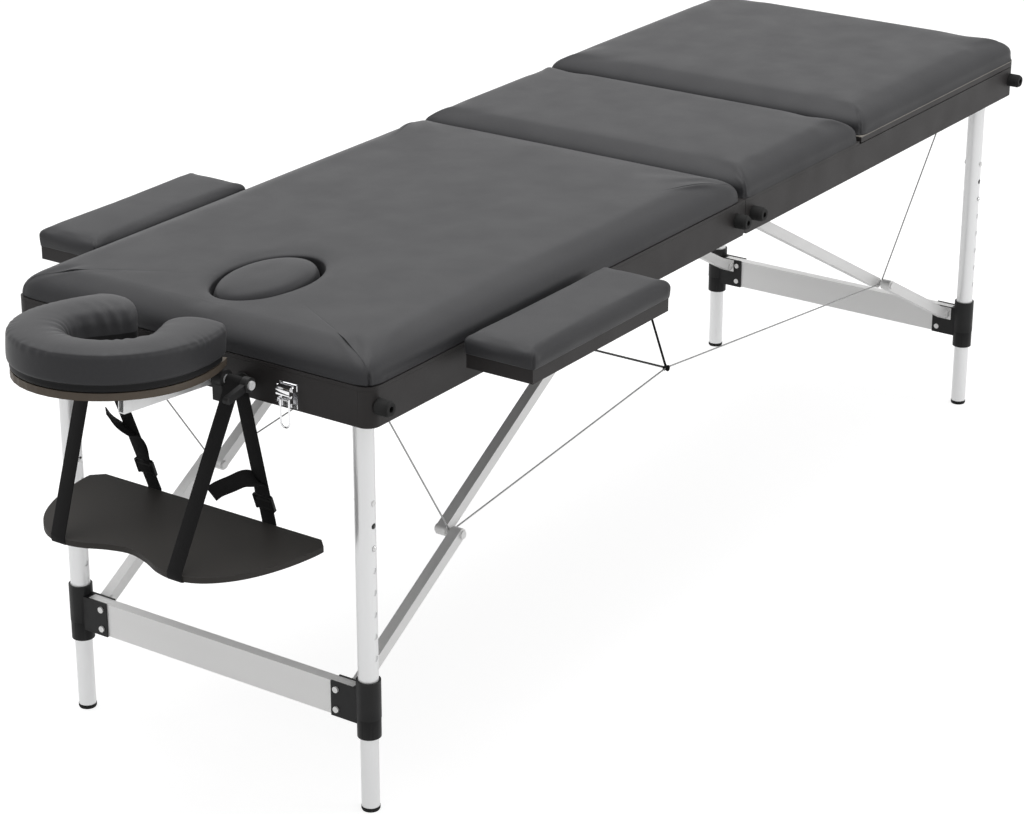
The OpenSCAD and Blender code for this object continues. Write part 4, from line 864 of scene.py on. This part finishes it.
# ---------------------------------------------------------------- sling webbing
def ribbon(name, pts, sides, width, thick, key):
    """Flat webbing along points, with the direction of its width at each, in metres."""
    pts, sides = np.array(pts), np.array(sides, float)
    d = np.gradient(pts, axis=0)
    d /= np.linalg.norm(d, axis=1)[:, None]
    verts, uv, run = [], [], 0.0
    ring = [(-1, -0.6), (-0.96, -1), (0, -1), (0.96, -1), (1, -0.6), (1, 0.6), (0.96, 1), (0, 1),
            (-0.96, 1), (-1, 0.6)]
    for i, p in enumerate(pts):
        s = sides[i] - d[i] * (sides[i] @ d[i])
        s /= np.linalg.norm(s)
        out = np.cross(d[i], s)
        run += np.linalg.norm(p - pts[i - 1]) if i else 0
        for a, b in ring:
            verts.append(p + s * a * width / 2 + out * b * thick / 2)
            uv.append((a * width * CM / 2, run * CM))
    m = len(ring)
    faces = [f[::-1] for f in band(len(pts), m)]
    n = len(verts)
    faces += [tuple(range(m)), tuple(reversed(range(n - m, n)))]
    return mesh_object(name, verts, faces, [key], uv=uv)


def smooth_path(points, n):
    """A Catmull-Rom curve through points, n steps between each two."""
    p = np.array(points, float)
    p = np.vstack([2 * p[0] - p[1], p, 2 * p[-1] - p[-2]])
    out = []
    for i in range(1, len(p) - 2):
        for k in range(n):
            t = k / n
            a, b, c, e = p[i - 1], p[i], p[i + 1], p[i + 2]
            out.append(0.5 * (2 * b + (c - a) * t + (2 * a - 5 * b + 4 * c - e) * t ** 2
                              + (3 * b - a - 3 * c + e) * t ** 3))
    out.append(p[-2])
    return out


def box_frame(name, centre, x_axis, y_axis, size, bars, key):
    """A ladder buckle: two rails and cross bars, with rounded edges, about a centre."""
    x, y = np.array(x_axis, float), np.array(y_axis, float)
    x /= np.linalg.norm(x)
    y -= x * (x @ y)
    y /= np.linalg.norm(y)
    z = np.cross(x, y)
    b = bmesh.new()
    length, width, thick = size
    parts = [(0, s * (width / 2 - 2), 0, length, 4, thick) for s in (-1, 1)]
    parts += [(u, 0, w, t, width - 6, h) for u, w, t, h in bars]
    for cx, cy, cz, lx, ly, lz in parts:
        made = bmesh.ops.create_cube(b, size=1)["verts"]
        for v in made:
            q = (cx + v.co.x * lx) * x + (cy + v.co.y * ly) * y + (cz + v.co.z * lz) * z
            v.co = Vector(centre + q * MM)
    bmesh.ops.bevel(b, geom=list(b.edges), offset=0.0011, segments=3, profile=0.5, affect="EDGES",
                    clamp_overlap=True)
    me = bpy.data.meshes.new(name)
    b.to_mesh(me)
    b.free()
    me.materials.append(M[key].m)
    for f in me.polygons:
        f.use_smooth = True
    o = bpy.data.objects.new(name, me)
    scene.collection.objects.link(o)
    return o


def run_between(a, b):
    """The straight run of a loop between two of its bends, in mm."""
    a, b = np.array(a), np.array(b)
    return [tuple(a + (b - a) * t) for t in np.linspace(0.03, 0.97, 14)]


WEB_REAR, BOARD_TOP = 887.2, 384  # of the sling: its rear webbing at the board, and the board's top
LOOP_R = 7.0  # of the webbing over the rod
for s, side in SIDES:
    ymid, ylow = 120.5 * s, 100.0 * s
    lean = math.atan2(AXIS_Z - BOARD_TOP, AXIS_X - 888)
    # the buckle's middle
    bx, bz = WEB_REAR + 36 / math.tan(lean), 420.0
    k = (bz - 385) / (AXIS_Z - 4 - 385)
    by = ylow + (ymid - ylow) * k
    under = [(WEB_REAR, ylow, 386), (887.25, ylow, 379), (888.2, ylow, 376.2), (891, ylow, 375.15),
             (984, ylow, 375.1), (1075, ylow, 375.15), (1077.9, ylow, 376.2), (1078.8, ylow, 379),
             (1078.8, ylow, 386)]
    over = [(AXIS_X + LOOP_R * math.cos(a), ymid, AXIS_Z + LOOP_R * math.sin(a))
            for a in np.radians(np.linspace(-14, 200, 13))]
    # down the rear run, under the board, up the front run, over the rod and to the start again
    rear = run_between(over[-1], under[0])
    loop = rear + under + run_between(under[-1], over[0]) + over + [rear[0]]
    pts = [head(*p) for p in loop]
    o = ribbon(f"{side}_sling_strap", pts, [(0, 1, 0)] * len(pts), 24 * MM, 1.5 * MM, "webbing")
    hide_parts("sling_straps")
    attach(o, "arm_sling")
    along = head(AXIS_X, 0, AXIS_Z) - head(WEB_REAR, 0, BOARD_TOP)
    o = box_frame(f"{side}_sling_buckle", head(bx, by, bz), along, (0, 1, 0), (24, 32, 5.4),
                  [(-10, 0, 3.4, 3.6), (-1.5, 0.9, 3.4, 3.2), (6, 0.9, 2.6, 3.2), (11, -0.6, 2.6, 3.4)],
                  "black_plastic")
    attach(o, "arm_sling")
    # the doubled webbing above the buckle and its loose tail
    if s < 0:
        way = [(1.5, 0, -6), (4.2, 0, 12), (9, 0, 30), (18, 1, 39), (30, 8, 43), (44, 18, 38), (58, 28, 33),
               (66, 34, 27)]
        turn = [(0, 1, 0), (0, 1, 0), (0.05, 1, 0.1), (0.1, 0.7, 0.7), (0.05, 0.35, 0.95),
                (0.02, 0.2, 1), (0.02, 0.15, 1), (0.05, 0.1, 1)]
    else:
        way = [(1.5, 0, -6), (4.2, 0, 12), (8, 0, 34), (15, 3, 52), (26, 10, 62), (38, 18, 76), (46, 24, 92)]
        turn = [(0, 1, 0), (0, 1, 0), (0, 1, 0.05), (0.1, 0.9, 0.3), (0.2, 0.8, 0.6), (0.4, 0.8, 0.5),
                (0.5, 0.8, 0.4)]
    way = [(bx + p[0], by + p[1], bz + p[2]) for p in way]
    path = [head(*p) for p in smooth_path(way, 6)]
    turns = smooth_path(turn, 6)
    o = ribbon(f"{side}_sling_tail", path, turns, 23 * MM, 1.4 * MM, "webbing")
    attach(o, "arm_sling")

# ---------------------------------------------------------------- floor and light
me = bpy.data.meshes.new("floor")
me.from_pydata([(-30, -30, 0), (30, -30, 0), (30, 30, 0), (-30, 30, 0)], [], [(0, 1, 2, 3)])
floor = bpy.data.objects.new("floor", me)
scene.collection.objects.link(floor)


def seen_rays(tree):
    """1 for the rays that show a thing, straight or mirrored, and 0 for those that only light others."""
    path = tree.nodes.new("ShaderNodeLightPath")
    last = path.outputs["Is Camera Ray"]
    for kind in ("Is Glossy Ray", "Is Transmission Ray"):
        n = tree.nodes.new("ShaderNodeMath")
        n.operation = "MAXIMUM"
        tree.links.new(last, n.inputs[0])
        tree.links.new(path.outputs[kind], n.inputs[1])
        last = n.outputs[0]
    return last


FLOOR_GREY, FLOOR_GLOW = 0.42, 0.8
floor_mat = bpy.data.materials.new("floor")
floor_mat.use_nodes = True
tree = floor_mat.node_tree
tree.nodes.clear()
surface = tree.nodes.new("ShaderNodeOutputMaterial")
diffuse = tree.nodes.new("ShaderNodeBsdfDiffuse")
diffuse.inputs["Color"].default_value = (FLOOR_GREY, FLOOR_GREY, FLOOR_GREY, 1)
glow = tree.nodes.new("ShaderNodeEmission")
glow.inputs["Color"].default_value = (1, 1, 1, 1)
times = tree.nodes.new("ShaderNodeMath")
times.operation = "MULTIPLY"
times.inputs[1].default_value = FLOOR_GLOW
tree.links.new(seen_rays(tree), times.inputs[0])
tree.links.new(times.outputs[0], glow.inputs["Strength"])
both = tree.nodes.new("ShaderNodeAddShader")
tree.links.new(diffuse.outputs[0], both.inputs[0])
tree.links.new(glow.outputs[0], both.inputs[1])
tree.links.new(both.outputs[0], surface.inputs["Surface"])
me.materials.append(floor_mat)

SKY_LIGHT, SKY_SEEN = 0.6, 1.0
world = bpy.data.worlds.new("world")
scene.world = world
world.use_nodes = True
tree = world.node_tree
sky = tree.nodes["Background"]
sky.inputs["Color"].default_value = (1, 1, 1, 1)
strength = tree.nodes.new("ShaderNodeMapRange")
strength.inputs["To Min"].default_value = SKY_LIGHT
strength.inputs["To Max"].default_value = SKY_SEEN
tree.links.new(seen_rays(tree), strength.inputs["Value"])
tree.links.new(strength.outputs[0], sky.inputs["Strength"])


def lamp(name, where, at, size, power):
    """A rectangular lamp that looks at a point."""
    d = bpy.data.lights.new(name, "AREA")
    d.shape = "RECTANGLE"
    d.size, d.size_y = size
    d.energy = power
    o = bpy.data.objects.new(name, d)
    o.location = where
    o.rotation_euler = (Vector(at) - Vector(where)).to_track_quat("-Z", "Y").to_euler()
    scene.collection.objects.link(o)


lamp("over", (0.2, 0.6, 3.6), (0, 0, 0.6), (3.4, 2.6), 66)
lamp("side", (1.6, -3.6, 2.2), (0.2, 0, 0.5), (2.4, 1.8), 24)

scene.view_settings.view_transform = "Standard"
